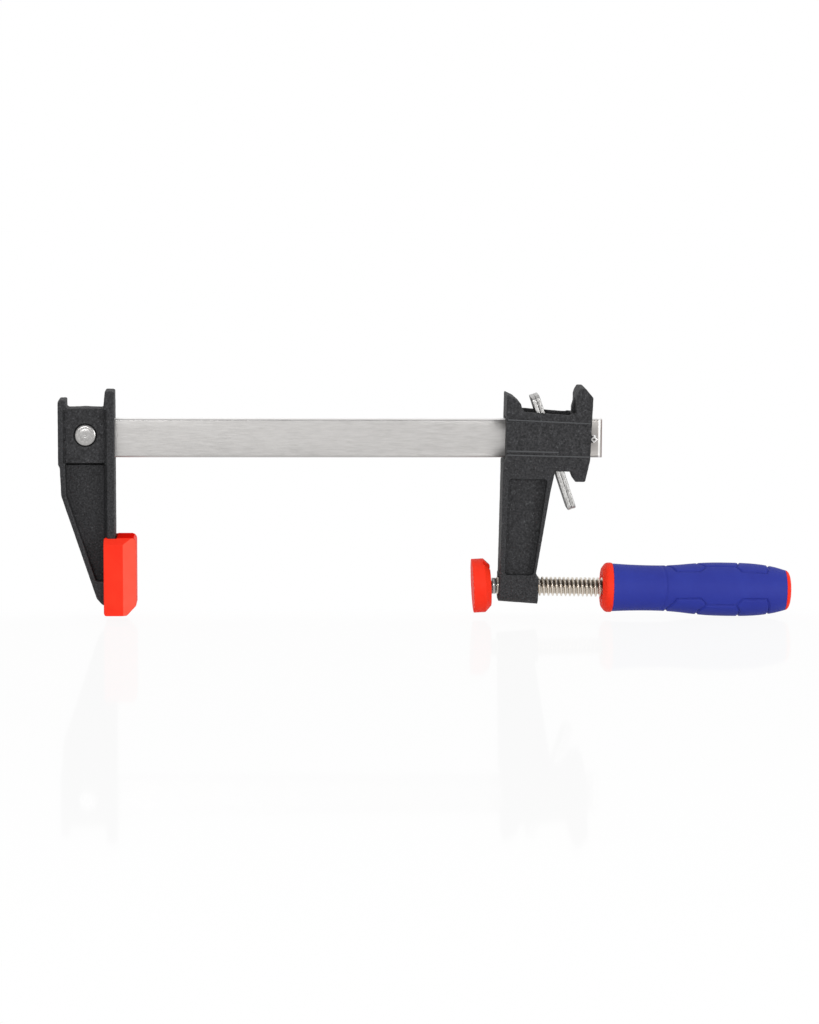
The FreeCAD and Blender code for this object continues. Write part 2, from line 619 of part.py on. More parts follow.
def make_spring():
    """Outer shape of the compression spring between the rear plate and the end of its channel."""
    a = math.radians(PLATE_TILT + HEAD_TILT)
    axis = BAR_BOTTOM - SPRING_DROP
    # The spring's lower edge reaches the rear plate first
    touch_z = axis - SPRING_DIAMETER / 2
    pack = NOSE_RADIUS + NOSE_GAP + 2 * PLATE_THICKNESS
    start = NOSE_AT + (pack + (NOSE_Z - touch_z) * math.sin(a)) / math.cos(a) + SLIDE_GAP
    end = SPRING_SEAT - SLIDE_GAP
    coil = rod_x(SPRING_DIAMETER, start, end, axis)
    return coil.cut(rod_x(SPRING_DIAMETER - 2 * SPRING_WIRE, start - 1, end + 1, axis))


# Screw, swivel and moving pad, drawn along the screw's axis

COLLAR_FRONT = BALL_AT + SOCKET_DEPTH + TILT_ROOM
COLLAR_BACK = COLLAR_FRONT + COLLAR_LENGTH
HANDLE_BACK = HANDLE_FRONT + COLLAR_WIDTH + GRIP_LENGTH
TAIL_END = HANDLE_BACK - PLUG_LENGTH - TAIL_GAP


def make_screw():
    shoulder = COLLAR_BACK + FIXED_GAP
    screw = turned([
        (BALL_AT, 0),
        (BALL_AT, NECK_DIAMETER / 2),
        (shoulder, NECK_DIAMETER / 2),
        (shoulder, SCREW_NOSE / 2),
        (SCREW_THREAD_START, SCREW_NOSE / 2),
        (SCREW_THREAD_START + SCREW_TAPER, SCREW_DIAMETER / 2),
        (HANDLE_FRONT + TAIL_START, SCREW_DIAMETER / 2),
        (HANDLE_FRONT + TAIL_START, SCREW_TAIL / 2),
        (TAIL_END, SCREW_TAIL / 2),
        (TAIL_END, 0),
    ])
    screw = screw.fuse(Part.makeSphere(BALL_DIAMETER / 2, Vector(BALL_AT, 0, 0), Vector(1, 0, 0)))
    # Flattened tail, so that it can't turn in the handle
    start = HANDLE_FRONT + FLAT_START
    above = block(start, TAIL_END + 1, SCREW_TAIL, TAIL_FLAT, SCREW_TAIL)
    below = block(start, TAIL_END + 1, SCREW_TAIL, -SCREW_TAIL, -TAIL_FLAT)
    return screw.cut([above, below])


def make_collar():
    """Split collar that rides loosely on the neck, between the socket and the screw."""
    collar = rod_x(COLLAR_DIAMETER, COLLAR_FRONT, COLLAR_BACK)
    bore = NECK_DIAMETER + 4 * BALL_GAP
    collar = collar.cut(rod_x(bore, COLLAR_FRONT - 1, COLLAR_BACK + 1))
    return collar.cut(Part.makeBox(COLLAR_LENGTH + 2, COLLAR_DIAMETER, bore,
                                   Vector(COLLAR_FRONT - 1, -COLLAR_DIAMETER, -bore / 2)))


CAP_FACE = BALL_AT - CAP_FRONT_TO_BALL
DISC_FACE = CAP_FACE + CAP_FACE_WALL + TURN_GAP


def leaning(shape):
    """A piece of the swivel, tipped about the ball."""
    placed = shape.copy()
    placed.rotate(Vector(BALL_AT, 0, 0), Vector(0, 1, 0), -PAD_LEAN)
    return placed


def make_cup():
    """Steel disc with a drilled socket whose lip is closed over the ball."""
    ball = BALL_DIAMETER / 2 + BALL_GAP
    back = BALL_AT + SOCKET_DEPTH
    disc_back = DISC_FACE + DISC_THICKNESS
    # Both slopes of the socket touch the ball at 45 degrees
    reach = ball * math.sqrt(2)
    mouth = SOCKET_MOUTH / 2
    return turned([
        (DISC_FACE, 0),
        (DISC_FACE, DISC_DIAMETER / 2),
        (disc_back, DISC_DIAMETER / 2),
        (disc_back, SOCKET_DIAMETER / 2),
        (back, SOCKET_DIAMETER / 2),
        (back, mouth),
        (BALL_AT + reach - mouth, mouth),
        (BALL_AT + reach - ball, ball),
        (BALL_AT + ball - reach, ball),
        (BALL_AT - ball, reach - ball),
        (BALL_AT - ball, 0),
    ])


def make_cap():
    """Round plastic pad that snaps over the disc, with a bevelled back and release slots."""
    back = CAP_FACE + CAP_THICKNESS
    cap = turned([
        (CAP_FACE, 0),
        (CAP_FACE, CAP_DIAMETER / 2),
        (CAP_FACE + CAP_RIM, CAP_DIAMETER / 2),
        (back, CAP_BACK_DIAMETER / 2),
        (back, 0),
    ])
    room = TURN_GAP
    disc = turned([
        (DISC_FACE - room, 0),
        (DISC_FACE - room, DISC_DIAMETER / 2 + room),
        (DISC_FACE + DISC_THICKNESS + room, DISC_DIAMETER / 2 + room),
        (DISC_FACE + DISC_THICKNESS + room, CAP_OPENING / 2),
        (back + 1, CAP_OPENING / 2),
        (back + 1, 0),
    ])
    cap = cap.cut(disc)
    slot_front = DISC_FACE + DISC_THICKNESS + CAP_SLOT_WALL
    slot = Part.makeBox(back + 1 - slot_front, CAP_SLOT_WIDTH, CAP_DIAMETER,
                        Vector(slot_front, -CAP_SLOT_WIDTH / 2, CAP_OPENING / 2 - 1))
    for i in range(CAP_SLOTS):
        cutter = slot.copy()
        cutter.rotate(Vector(0, 0, 0), Vector(1, 0, 0), CAP_SLOT_TURN + 360 / CAP_SLOTS * i)
        cap = cap.cut(cutter)
    return cap


# Handle

def make_core():
    """Hard core of the handle, seen as the collar in front of the grip."""
    front, start, back = HANDLE_FRONT, HANDLE_FRONT + COLLAR_WIDTH, HANDLE_BACK
    core = turned([
        (front, 0),
        (front, HANDLE_COLLAR / 2 - COLLAR_BEVEL),
        (front + COLLAR_BEVEL, HANDLE_COLLAR / 2),
        (start, HANDLE_COLLAR / 2),
        (start, CORE_DIAMETER / 2),
        (back, CORE_DIAMETER / 2),
        (back, 0),
    ])
    screw_hole = rod_x(SCREW_DIAMETER + 2 * FIXED_GAP, front - 1, front + TAIL_START + FIXED_GAP)
    tail_hole = rod_x(SCREW_TAIL + 2 * FIXED_GAP, front, TAIL_END + FIXED_GAP)
    plug_hole = rod_x(PLUG_DIAMETER + 2 * FIXED_GAP, back - PLUG_LENGTH - FIXED_GAP, back + 1)
    return core.cut(screw_hole).cut(tail_hole).cut(plug_hole)


def make_grip():
    """Soft grip moulded over the core."""
    start = HANDLE_FRONT + COLLAR_WIDTH
    bore = CORE_DIAMETER / 2 + FIXED_GAP
    outside = [(start + share * GRIP_LENGTH, diameter / 2) for share, diameter in GRIP_OUTLINE]
    return turned([(start, bore)] + outside + [(HANDLE_BACK, bore)])


def make_end_cap():
    """Domed cap that closes the handle, with a plug pressed into the core."""
    back = HANDLE_BACK + FIXED_GAP
    rim = GRIP_BACK / 2
    return turned([
        (back - PLUG_LENGTH, 0),
        (back - PLUG_LENGTH, PLUG_DIAMETER / 2),
        (back, PLUG_DIAMETER / 2),
        (back, rim),
        (back + CAP_DOME / 2, rim),
        (back + CAP_DOME, rim - CAP_DOME),
        (back + CAP_DOME, 0),
    ])


def main():
    os.makedirs("parts", exist_ok=True)
    save(make_bar(), "bar")
    save(make_rivet(), "jaw_rivet")
    save(make_stop_pin(), "bar_end_stop")
    save(make_fixed_jaw(), "fixed_jaw")
    save(make_fixed_pad(), "fixed_jaw_pad")
    save(tilted(make_sliding_jaw()), "sliding_jaw")
    save(make_plate(0), "clutch_plate_front")
    save(make_plate(1), "clutch_plate_rear")
    save(tilted(make_spring()), "clutch_spring")
    save(tilted(make_screw()), "screw")
    save(tilted(make_collar()), "swivel_collar")
    save(tilted(leaning(make_cup())), "swivel_cup")
    save(tilted(leaning(make_cap())), "moving_jaw_pad")
    save(tilted(make_core()), "handle_core")
    save(tilted(make_grip()), "handle_grip")
    save(tilted(make_end_cap()), "handle_end_cap")


main()
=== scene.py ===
# %% [markdown]
# # A light bar clamp, dressed for its picture
#
# The clamp is a flat steel bar with a fixed jaw at one end and a sliding head at the other. The
# CAD model already holds every piece in its place, as plain solids in metres. This lesson keeps
# those places and gives each piece the surface that the real one has: sand-cast iron under
# textured black paint, zinc on the bar, bright threads on the screw, and moulded plastic.

# %% Load the frame
import json
import math

import bpy
from mathutils import Matrix, Vector


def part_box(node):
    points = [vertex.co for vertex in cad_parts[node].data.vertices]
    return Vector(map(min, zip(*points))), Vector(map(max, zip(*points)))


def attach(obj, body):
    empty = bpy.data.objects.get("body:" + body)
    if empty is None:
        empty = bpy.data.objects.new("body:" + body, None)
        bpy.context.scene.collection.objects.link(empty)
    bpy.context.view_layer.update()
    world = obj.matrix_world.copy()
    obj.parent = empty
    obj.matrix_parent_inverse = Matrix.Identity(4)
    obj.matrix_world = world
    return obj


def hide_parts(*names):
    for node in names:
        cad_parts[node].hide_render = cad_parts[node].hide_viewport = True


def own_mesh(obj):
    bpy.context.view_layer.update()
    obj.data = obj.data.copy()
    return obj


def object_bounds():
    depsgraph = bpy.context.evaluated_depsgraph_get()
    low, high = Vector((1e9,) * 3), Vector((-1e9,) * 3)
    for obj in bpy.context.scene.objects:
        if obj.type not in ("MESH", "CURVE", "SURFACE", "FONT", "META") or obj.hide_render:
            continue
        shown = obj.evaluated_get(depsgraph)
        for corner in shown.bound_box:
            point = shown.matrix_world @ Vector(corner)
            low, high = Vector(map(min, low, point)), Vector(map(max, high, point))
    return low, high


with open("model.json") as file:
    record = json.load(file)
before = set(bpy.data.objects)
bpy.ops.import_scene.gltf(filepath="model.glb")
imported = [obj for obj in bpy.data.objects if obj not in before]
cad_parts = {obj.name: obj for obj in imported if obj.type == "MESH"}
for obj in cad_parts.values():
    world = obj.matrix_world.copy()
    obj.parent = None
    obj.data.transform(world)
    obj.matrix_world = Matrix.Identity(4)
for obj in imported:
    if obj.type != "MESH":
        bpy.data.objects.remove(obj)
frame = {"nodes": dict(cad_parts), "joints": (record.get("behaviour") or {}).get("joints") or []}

cad_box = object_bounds()

# %% [markdown]
# ## Tools for the bench
#
# Every operator in Blender acts on what is selected, so a helper first clears the selection and
# then picks one piece. Modifiers are applied at once, so that each piece ends as a plain mesh
# that anyone can edit further. Lengths are written in millimetres times MM.

# %% Select, modify and settle a piece
MM = 0.001


def work_on(piece):
    """Select this piece alone."""
    bpy.ops.object.select_all(action="DESELECT")
    piece.select_set(True)
    bpy.context.view_layer.objects.active = piece


def join(piece, other):
    """Make another mesh a part of this piece."""
    work_on(piece)
    other.select_set(True)
    bpy.ops.object.join()


def on_all(piece, operator, **settings):
    """Run a mesh operator with the whole piece selected."""
    work_on(piece)
    bpy.ops.object.mode_set(mode="EDIT")
    bpy.ops.mesh.select_all(action="SELECT")
    operator(**settings)
    bpy.ops.object.mode_set(mode="OBJECT")


def modify(piece, kind, **settings):
    """Add a modifier and apply it."""
    work_on(piece)
    modifier = piece.modifiers.new(kind.title(), kind)
    for name, value in settings.items():
        setattr(modifier, name, value)
    bpy.ops.object.modifier_apply(modifier=modifier.name)


def smooth(piece, degrees=35):
    work_on(piece)
    bpy.ops.object.shade_smooth_by_angle(angle=math.radians(degrees))


def settle(piece, material, body, node_name):
    """Dress a finished piece and let it stand for its CAD solid."""
    piece.data.materials.clear()
    piece.data.materials.append(material)
    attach(piece, body)
    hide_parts(node_name)
    piece.data.calc_loop_triangles()
    print(piece.name, "triangles", len(piece.data.loop_triangles), "rides on", body)


print("bench tools: select, join, modify, smooth, settle")

# %% A welded copy of a CAD solid
WELD_GAP = 2e-6


def centre_of(node_name):
    """Middle and half size of a CAD solid."""
    low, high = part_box(node_name)
    return (low + high) / 2, (high - low) / 2


def merged_copy(node_name, name):
    """The CAD mesh is loose triangles, so a copy is welded before any modelling."""
    piece = bpy.data.objects.new(name, frame["nodes"][node_name].data.copy())
    bpy.context.scene.collection.objects.link(piece)
    work_on(piece)
    bpy.ops.mesh.customdata_custom_splitnormals_clear()
    on_all(piece, bpy.ops.mesh.remove_doubles, threshold=WELD_GAP)
    return piece


print("solids to copy:", sorted(frame["nodes"]))

# %% [markdown]
# Turned parts could be built from stacked cylinders, but a lathe is closer to how they are made.
# A plane is merged to a single point, the point is drawn along the outline by extruding it, and
# the Screw modifier sweeps the outline round the X axis. The same modifier, given a pitch, cuts
# threads and winds springs.

# %% Draw an outline and sweep it
def draw_outline(name, points, closed=False):
    """A chain of edges in the XZ plane through (x, radius) points."""
    bpy.ops.mesh.primitive_plane_add(size=MM, location=(points[0][0], 0, points[0][1]))
    piece = bpy.context.object
    piece.name = name
    bpy.ops.object.transform_apply()
    bpy.ops.object.mode_set(mode="EDIT")
    bpy.ops.mesh.select_all(action="SELECT")
    bpy.ops.mesh.merge(type="CENTER")
    for (x0, r0), (x1, r1) in zip(points, points[1:]):
        bpy.ops.mesh.extrude_vertices_move(TRANSFORM_OT_translate={"value": (x1 - x0, 0, r1 - r0)})
    if closed:
        bpy.ops.mesh.select_all(action="SELECT")
        bpy.ops.mesh.edge_face_add()
        bpy.ops.mesh.delete(type="ONLY_FACE")
    bpy.ops.object.mode_set(mode="OBJECT")
    return piece


def weld(piece):
    """Join doubled points and turn all faces outward."""
    on_all(piece, bpy.ops.mesh.remove_doubles, threshold=WELD_GAP)
    on_all(piece, bpy.ops.mesh.normals_make_consistent, inside=False)


def turned_piece(name, outline, steps, bevel=0):
    """A lathe piece on the X axis. The outline starts and ends on the axis, or closes on itself."""
    piece = draw_outline(name, outline, closed=outline[0][1] > 0)
    modify(piece, "SCREW", axis="X", steps=steps, render_steps=steps, use_smooth_shade=True)
    weld(piece)
    if bevel:
        modify(piece, "BEVEL", width=bevel, segments=3, limit_method="ANGLE",
               angle_limit=math.radians(30))
    smooth(piece)
    return piece


def place(piece, location, rotation=(0, 0, 0)):
    """Put a piece in its place and write the place into its mesh."""
    work_on(piece)
    piece.location = location
    piece.rotation_euler = rotation
    bpy.ops.object.transform_apply()


print("lathe ready")

# %% [markdown]
# ## Where the screw lies
#
# The head hangs with a little slack on the bar, so the screw leans by just over a degree. The
# CAD joint keeps that direction and the middle of the ball at the screw's tip. Everything on the
# screw is modelled upright, with the ball at the origin, and then placed with these two values.

# %% Read the screw's place from the joints
joint = {j["name"]: j for j in frame["joints"]}
BALL = Vector(joint["screw_turn"]["pos_m"])
LEAN = math.asin(joint["screw_turn"]["axis"][2])
print("ball at", [round(v / MM, 2) for v in BALL], "screw leans", round(math.degrees(LEAN), 2))

# %% [markdown]
# ## Finishes
#
# Each finish is a procedural material on Object coordinates, so a grain has the same real size
# on every piece. What several finishes share is a node group with named sockets: the fine grain
# of a rough surface, the streaks that drawing and grinding leave in metal, and soft smudges.

# %% Small helpers for node trees
def node(tree, kind, inputs=None, **settings):
    """Add a node. Each input is a link from a socket, or else a value."""
    made = tree.nodes.new(kind)
    for name, value in settings.items():
        setattr(made, name, value)
    for name, value in (inputs or {}).items():
        if isinstance(value, bpy.types.NodeSocket):
            tree.links.new(value, made.inputs[name])
        else:
            made.inputs[name].default_value = value
    return made


def math_node(tree, operation, a, b=0.0, clamp=False):
    made = node(tree, "ShaderNodeMath", {0: a, 1: b}, operation=operation, use_clamp=clamp)
    return made.outputs[0]


def ramp(tree, value, low, high):
    """Stretch a mask so that low becomes 0 and high becomes 1."""
    made = node(tree, "ShaderNodeMapRange", {"Value": value, "From Min": low, "From Max": high})
    return made.outputs["Result"]


def mix_colour(tree, factor, a, b):
    """The Mix node's colour sockets are its inputs 6 and 7 and its output 2."""
    return node(tree, "ShaderNodeMix", {"Factor": factor, 6: a, 7: b}, data_type="RGBA").outputs[2]


def part_of(tree, vector, axis):
    """One coordinate of a vector."""
    return node(tree, "ShaderNodeSeparateXYZ", {0: vector}).outputs[axis]


def new_group(name, inputs, outputs):
    """A node group with a Vector socket, its own number sockets and number outputs."""
    group = bpy.data.node_groups.new(name, "ShaderNodeTree")
    group.interface.new_socket(name="Vector", in_out="INPUT", socket_type="NodeSocketVector")
    for socket, value in inputs.items():
        made = group.interface.new_socket(name=socket, in_out="INPUT", socket_type="NodeSocketFloat")
        made.default_value = value
    for socket in outputs:
        group.interface.new_socket(name=socket, in_out="OUTPUT", socket_type="NodeSocketFloat")
    return group, group.nodes.new("NodeGroupInput"), group.nodes.new("NodeGroupOutput")


print("node helpers ready")

# %% Group: grain of a rough or moulded surface
def make_grain():
    """Bumps of one size with finer ones on them, and a mask of the brightest tips."""
    group, read, write = new_group("surface grain", {"Size mm": 0.5, "Fleck Share": 0.3},
                                   ["Height", "Fleck"])
    scale = math_node(group, "DIVIDE", 1 / MM, read.outputs["Size mm"])
    coarse = node(group, "ShaderNodeTexNoise", {"Vector": read.outputs["Vector"], "Scale": scale,
                                               "Detail": 2.0, "Roughness": 0.6})
    fine_scale = math_node(group, "MULTIPLY", scale, 2.7)
    fine = node(group, "ShaderNodeTexNoise", {"Vector": read.outputs["Vector"], "Scale": fine_scale,
                                             "Detail": 1.0})
    fine_part = math_node(group, "MULTIPLY", fine.outputs[0], 0.4)
    height = math_node(group, "ADD", coarse.outputs[0], fine_part)
    lowered = math_node(group, "MULTIPLY", read.outputs["Fleck Share"], 0.5)
    over = math_node(group, "SUBTRACT", height, math_node(group, "SUBTRACT", 0.95, lowered))
    fleck = math_node(group, "MULTIPLY", over, 6.0, clamp=True)
    group.links.new(height, write.inputs["Height"])
    group.links.new(fleck, write.inputs["Fleck"])
    return group


GRAIN = make_grain()
print("node group:", GRAIN.name)

# %% Group: streaks in drawn or ground metal
def make_streaks():
    """Long thin lines along X of the vector that comes in, and broad soft smudges."""
    group, read, write = new_group("metal streaks", {"Width mm": 0.25, "Length": 0.02, "Smudge mm": 14.0},
                                   ["Streak", "Smudge"])
    stretch = node(group, "ShaderNodeCombineXYZ", {0: read.outputs["Length"], 1: 1.0, 2: 1.0})
    along = node(group, "ShaderNodeVectorMath", {0: read.outputs["Vector"], 1: stretch.outputs[0]},
                 operation="MULTIPLY")
    scale = math_node(group, "DIVIDE", 1 / MM, read.outputs["Width mm"])
    lines = node(group, "ShaderNodeTexNoise", {"Vector": along.outputs[0], "Scale": scale,
                                              "Detail": 3.0, "Roughness": 0.65})
    wide = math_node(group, "DIVIDE", 1 / MM, read.outputs["Smudge mm"])
    smudge = node(group, "ShaderNodeTexNoise", {"Vector": read.outputs["Vector"], "Scale": wide,
                                               "Detail": 4.0, "Roughness": 0.6, "Distortion": 0.4})
    group.links.new(ramp(group, lines.outputs[0], 0.3, 0.7), write.inputs["Streak"])
    group.links.new(ramp(group, smudge.outputs[0], 0.3, 0.7), write.inputs["Smudge"])
    return group


STREAKS = make_streaks()
print("node group:", STREAKS.name)

# %% Start a material
def start_material(name, metallic, roughness, specular=0.5):
    """A material with its tree, its shader and the object's own coordinates."""
    material = bpy.data.materials.new(name)
    material.use_nodes = True
    tree = material.node_tree
    shader = tree.nodes["Principled BSDF"]
    shader.inputs["Metallic"].default_value = metallic
    shader.inputs["Roughness"].default_value = roughness
    shader.inputs["Specular IOR Level"].default_value = specular
    return material, tree, shader, node(tree, "ShaderNodeTexCoord").outputs["Object"]


def use_group(tree, group, vector, **values):
    """Put a node group in a tree. In the names of its sockets _ stands for a space."""
    made = tree.nodes.new("ShaderNodeGroup")
    made.node_tree = group
    tree.links.new(vector, made.inputs["Vector"])
    for name, value in values.items():
        made.inputs[name.replace("_", " ")].default_value = value
    return made


def bump(tree, shader, height, distance):
    made = node(tree, "ShaderNodeBump", {"Height": height, "Distance": distance, "Strength": 1.0})
    tree.links.new(made.outputs[0], shader.inputs["Normal"])


def rgba(red, green, blue):
    """A screen colour of 0 to 255 a channel, as the linear colour that Blender works in."""
    linear = []
    for channel in (red, green, blue):
        c = channel / 255
        linear.append(c / 12.92 if c <= 0.04045 else ((c + 0.055) / 1.055) ** 2.4)
    return (*linear, 1.0)


print("middle grey:", [round(c, 3) for c in rgba(128, 128, 128)])

# %% [markdown]
# ### Textured black paint on cast iron
#
# Sand casting leaves an orange-peel surface, and the thick black paint over it keeps the grain
# and catches the light on its tips. A plain black with noise in its colour would look printed,
# so the same noise drives the bump, the gloss and the pale flecks together; the pale flecks on
# the tips are partly a painted highlight. Pointiness then tells how sharply the surface bends:
# edges are painted paler, partly as worn paint and partly as a painted highlight, and creases
# are painted dark as shade.

# %% Black paint
def make_black_paint(name, dark, light):
    material, tree, shader, vector = start_material(name, 0.0, 0.55, 0.3)
    grain = use_group(tree, GRAIN, vector, Size_mm=0.95, Fleck_Share=0.2)
    broad = use_group(tree, STREAKS, vector, Width_mm=9.0, Length=1.0, Smudge_mm=22.0)
    bend = node(tree, "ShaderNodeNewGeometry").outputs["Pointiness"]
    # outward edges painted paler: worn paint and painted highlight; creases painted dark: painted shade
    edge = math_node(tree, "MULTIPLY", ramp(tree, bend, 0.52, 0.6), 0.6)
    crease_shade = math_node(tree, "MULTIPLY", ramp(tree, bend, 0.48, 0.4), 0.9)
    mottle = ramp(tree, grain.outputs["Height"], 0.5, 0.95)
    colour = mix_colour(tree, broad.outputs["Smudge"], dark, light)
    # the pale flecks on the grain's tips are partly a painted highlight
    for mask, tint in ((mottle, rgba(63, 63, 65)), (grain.outputs["Fleck"], rgba(86, 87, 89)),
                       (edge, rgba(92, 93, 95)), (crease_shade, rgba(6, 6, 6))):
        colour = mix_colour(tree, mask, colour, tint)
    tree.links.new(colour, shader.inputs["Base Color"])
    gloss = node(tree, "ShaderNodeMapRange", {"Value": grain.outputs["Fleck"],
                                              "To Min": 0.66, "To Max": 0.5})
    tree.links.new(gloss.outputs[0], shader.inputs["Roughness"])
    bump(tree, shader, grain.outputs["Height"], 0.4 * MM)
    return material


BLACK = make_black_paint("black textured paint", rgba(20, 20, 21), rgba(28, 28, 30))
# paler paint for the beads: rubbed thin, and partly a painted highlight where they catch the light
RUBBED_PAINT_AND_HIGHLIGHT = make_black_paint("black paint rubbed thin and painted light", rgba(62, 63, 65), rgba(84, 85, 87))
print("paints:", BLACK.name, "and", RUBBED_PAINT_AND_HIGHLIGHT.name)

# %% [markdown]
# ### Zinc, blanked steel and bright turned steel
#
# The bar is cold drawn and zinc plated, so its fine streaks run along it, and its top is painted
# lighter as a highlight. The clutch plates are blanked from sheet and left rougher. The screw,
# rivet and pin are bright. All are one recipe with other values: metal whose gloss varies along
# the streaks.
# Masks add colours: painted shade in the thread's roots, and at the bar's end a darker stretch,
# a painted highlight strip and a dark last edge.

# %% Where the painted shade, the painted highlight and the darker bar end sit
ROOT_SHADE_RADII = (4.2 * MM, 3.5 * MM)
ROOT_SHADE_HEIGHTS = (-0.5 * MM, 0.7 * MM)
DARKER_FROM, DARKER_FULL = 216 * MM, 222 * MM
END_HIGHLIGHT_AT, END_HIGHLIGHT_HALF, END_HIGHLIGHT_CORE = 226.1 * MM, 0.6 * MM, 0.2 * MM
DARK_EDGE_FROM, DARK_EDGE_FULL = 226.7 * MM, 227.2 * MM


def painted_root_shade(tree, vector):
    """Painted shade: strong near the screw's axis and none out at the crests. Less on the lower side."""
    local = node(tree, "ShaderNodeMapping", {"Vector": vector, "Location": BALL,
                                             "Rotation": (0, LEAN, 0)}, vector_type="TEXTURE").outputs[0]
    flat = node(tree, "ShaderNodeVectorMath", {0: local, 1: (0, 1, 1)}, operation="MULTIPLY")
    radius = node(tree, "ShaderNodeVectorMath", {0: flat.outputs[0]}, operation="LENGTH")
    upper = math_node(tree, "MULTIPLY", ramp(tree, part_of(tree, local, "Z"), *ROOT_SHADE_HEIGHTS), 0.7)
    return math_node(tree, "MULTIPLY", ramp(tree, radius.outputs["Value"], *ROOT_SHADE_RADII),
                     math_node(tree, "ADD", 0.3, upper))


def darker_end(tree, vector):
    """The last few millimetres of the bar, painted darker."""
    return math_node(tree, "MULTIPLY", ramp(tree, part_of(tree, vector, "X"), DARKER_FROM, DARKER_FULL), 0.8)


def painted_end_highlight(tree, vector):
    """A painted highlight strip just before the bar's end."""
    off = math_node(tree, "SUBTRACT", part_of(tree, vector, "X"), END_HIGHLIGHT_AT)
    strip = ramp(tree, math_node(tree, "ABSOLUTE", off), END_HIGHLIGHT_HALF, END_HIGHLIGHT_CORE)
    return math_node(tree, "MULTIPLY", strip, 0.8)


def dark_last_edge(tree, vector):
    """The last half millimetre, painted dark."""
    return math_node(tree, "MULTIPLY", ramp(tree, part_of(tree, vector, "X"), DARK_EDGE_FROM, DARK_EDGE_FULL), 0.85)


print("wear at the bar's end starts at", round(DARKER_FROM / MM), "mm")

# %% Metals
def make_metal(name, dark, light, rough, width, length, smudge, turn=(0, 0, 0), depth=0.02, stains=()):
    """Streaks of a width and smudges of a size in mm, depth of the streaks in mm too."""
    material, tree, shader, vector = start_material(name, 1.0, rough[0])
    turned = node(tree, "ShaderNodeMapping", {"Vector": vector, "Rotation": turn}).outputs[0]
    lines = use_group(tree, STREAKS, turned, Width_mm=width, Length=length, Smudge_mm=smudge)
    streaked = mix_colour(tree, lines.outputs["Streak"], dark, light)
    clouded = mix_colour(tree, math_node(tree, "MULTIPLY", lines.outputs["Smudge"], 0.35), streaked, light)
    for where, colour in stains:
        clouded = mix_colour(tree, where(tree, vector), clouded, colour)
    tree.links.new(clouded, shader.inputs["Base Color"])
    both = math_node(tree, "ADD", lines.outputs["Streak"], lines.outputs["Smudge"])
    gloss = node(tree, "ShaderNodeMapRange", {"Value": math_node(tree, "MULTIPLY", both, 0.5),
                                              "To Min": rough[0], "To Max": rough[1]})
    tree.links.new(gloss.outputs[0], shader.inputs["Roughness"])
    bump(tree, shader, lines.outputs["Streak"], depth * MM)
    return material


# %% Mix the metals
UPRIGHT = (0, math.radians(90), 0)
ZINC = make_metal("zinc plated bar", rgba(176, 174, 172), rgba(192, 190, 188), (0.34, 0.48), 0.7, 0.12, 12.0,
                  stains=((darker_end, rgba(148, 144, 140)), (painted_end_highlight, rgba(238, 237, 235)),
                          (dark_last_edge, rgba(96, 82, 80))))
STEEL_PAINTED_HIGHLIGHT = make_metal("steel with painted highlight", rgba(234, 233, 231), rgba(247, 246, 245), (0.3, 0.42),
                       0.7, 0.12, 12.0)
BLANKED = make_metal("blanked steel edge", rgba(112, 110, 108), rgba(208, 207, 205), (0.25, 0.5),
                     0.5, 0.35, 3.0, UPRIGHT, 0.06)
STEEL_PAINTED_SHADE = make_metal("steel with painted shade", rgba(34, 33, 33), rgba(70, 68, 66), (0.4, 0.6), 0.5, 0.5, 4.0)
BRIGHT = make_metal("bright turned steel", rgba(152, 151, 150), rgba(184, 182, 180), (0.26, 0.34),
                    0.7, 1.0, 5.0, depth=0.006)
THREADED = make_metal("bright rolled thread", rgba(196, 186, 172), rgba(232, 224, 213), (0.16, 0.3),
                      0.2, 1.0, 5.0, stains=((painted_root_shade, rgba(84, 75, 66)),))
SPRING_STEEL = make_metal("spring wire", rgba(120, 119, 118), rgba(176, 175, 173), (0.25, 0.4), 0.3, 1.0, 4.0)
print("metals:", [m.name for m in (ZINC, STEEL_PAINTED_HIGHLIGHT, BLANKED, STEEL_PAINTED_SHADE, BRIGHT, THREADED, SPRING_STEEL)])

# %% [markdown]
# ### Hard red plastic and soft blue grip
#
# Moulded plastic isn't one flat colour either: the tool's fine spark-eroded grain breaks up the
# highlight, and the colour drifts a little where the wall is thick. The fixed pad's bevels are
# painted lighter as a sheen, and its top is matt and painted darker as shade. The soft grip gets
# a deeper grain and a duller gloss.

# %% Plastics
def make_plastic(name, deep, pale, rough, grain_mm, depth, specular):
    """The grain's size and depth are in mm."""
    material, tree, shader, vector = start_material(name, 0.0, rough[0], specular)
    grain = use_group(tree, GRAIN, vector, Size_mm=grain_mm, Fleck_Share=0.5)
    cloud = use_group(tree, STREAKS, vector, Width_mm=6.0, Length=1.0, Smudge_mm=18.0)
    tree.links.new(mix_colour(tree, cloud.outputs["Smudge"], deep, pale), shader.inputs["Base Color"])
    gloss = node(tree, "ShaderNodeMapRange", {"Value": grain.outputs["Height"], "From Min": 0.4,
                                              "From Max": 1.0, "To Min": rough[0], "To Max": rough[1]})
    tree.links.new(gloss.outputs[0], shader.inputs["Roughness"])
    bump(tree, shader, grain.outputs["Height"], depth * MM)
    return material


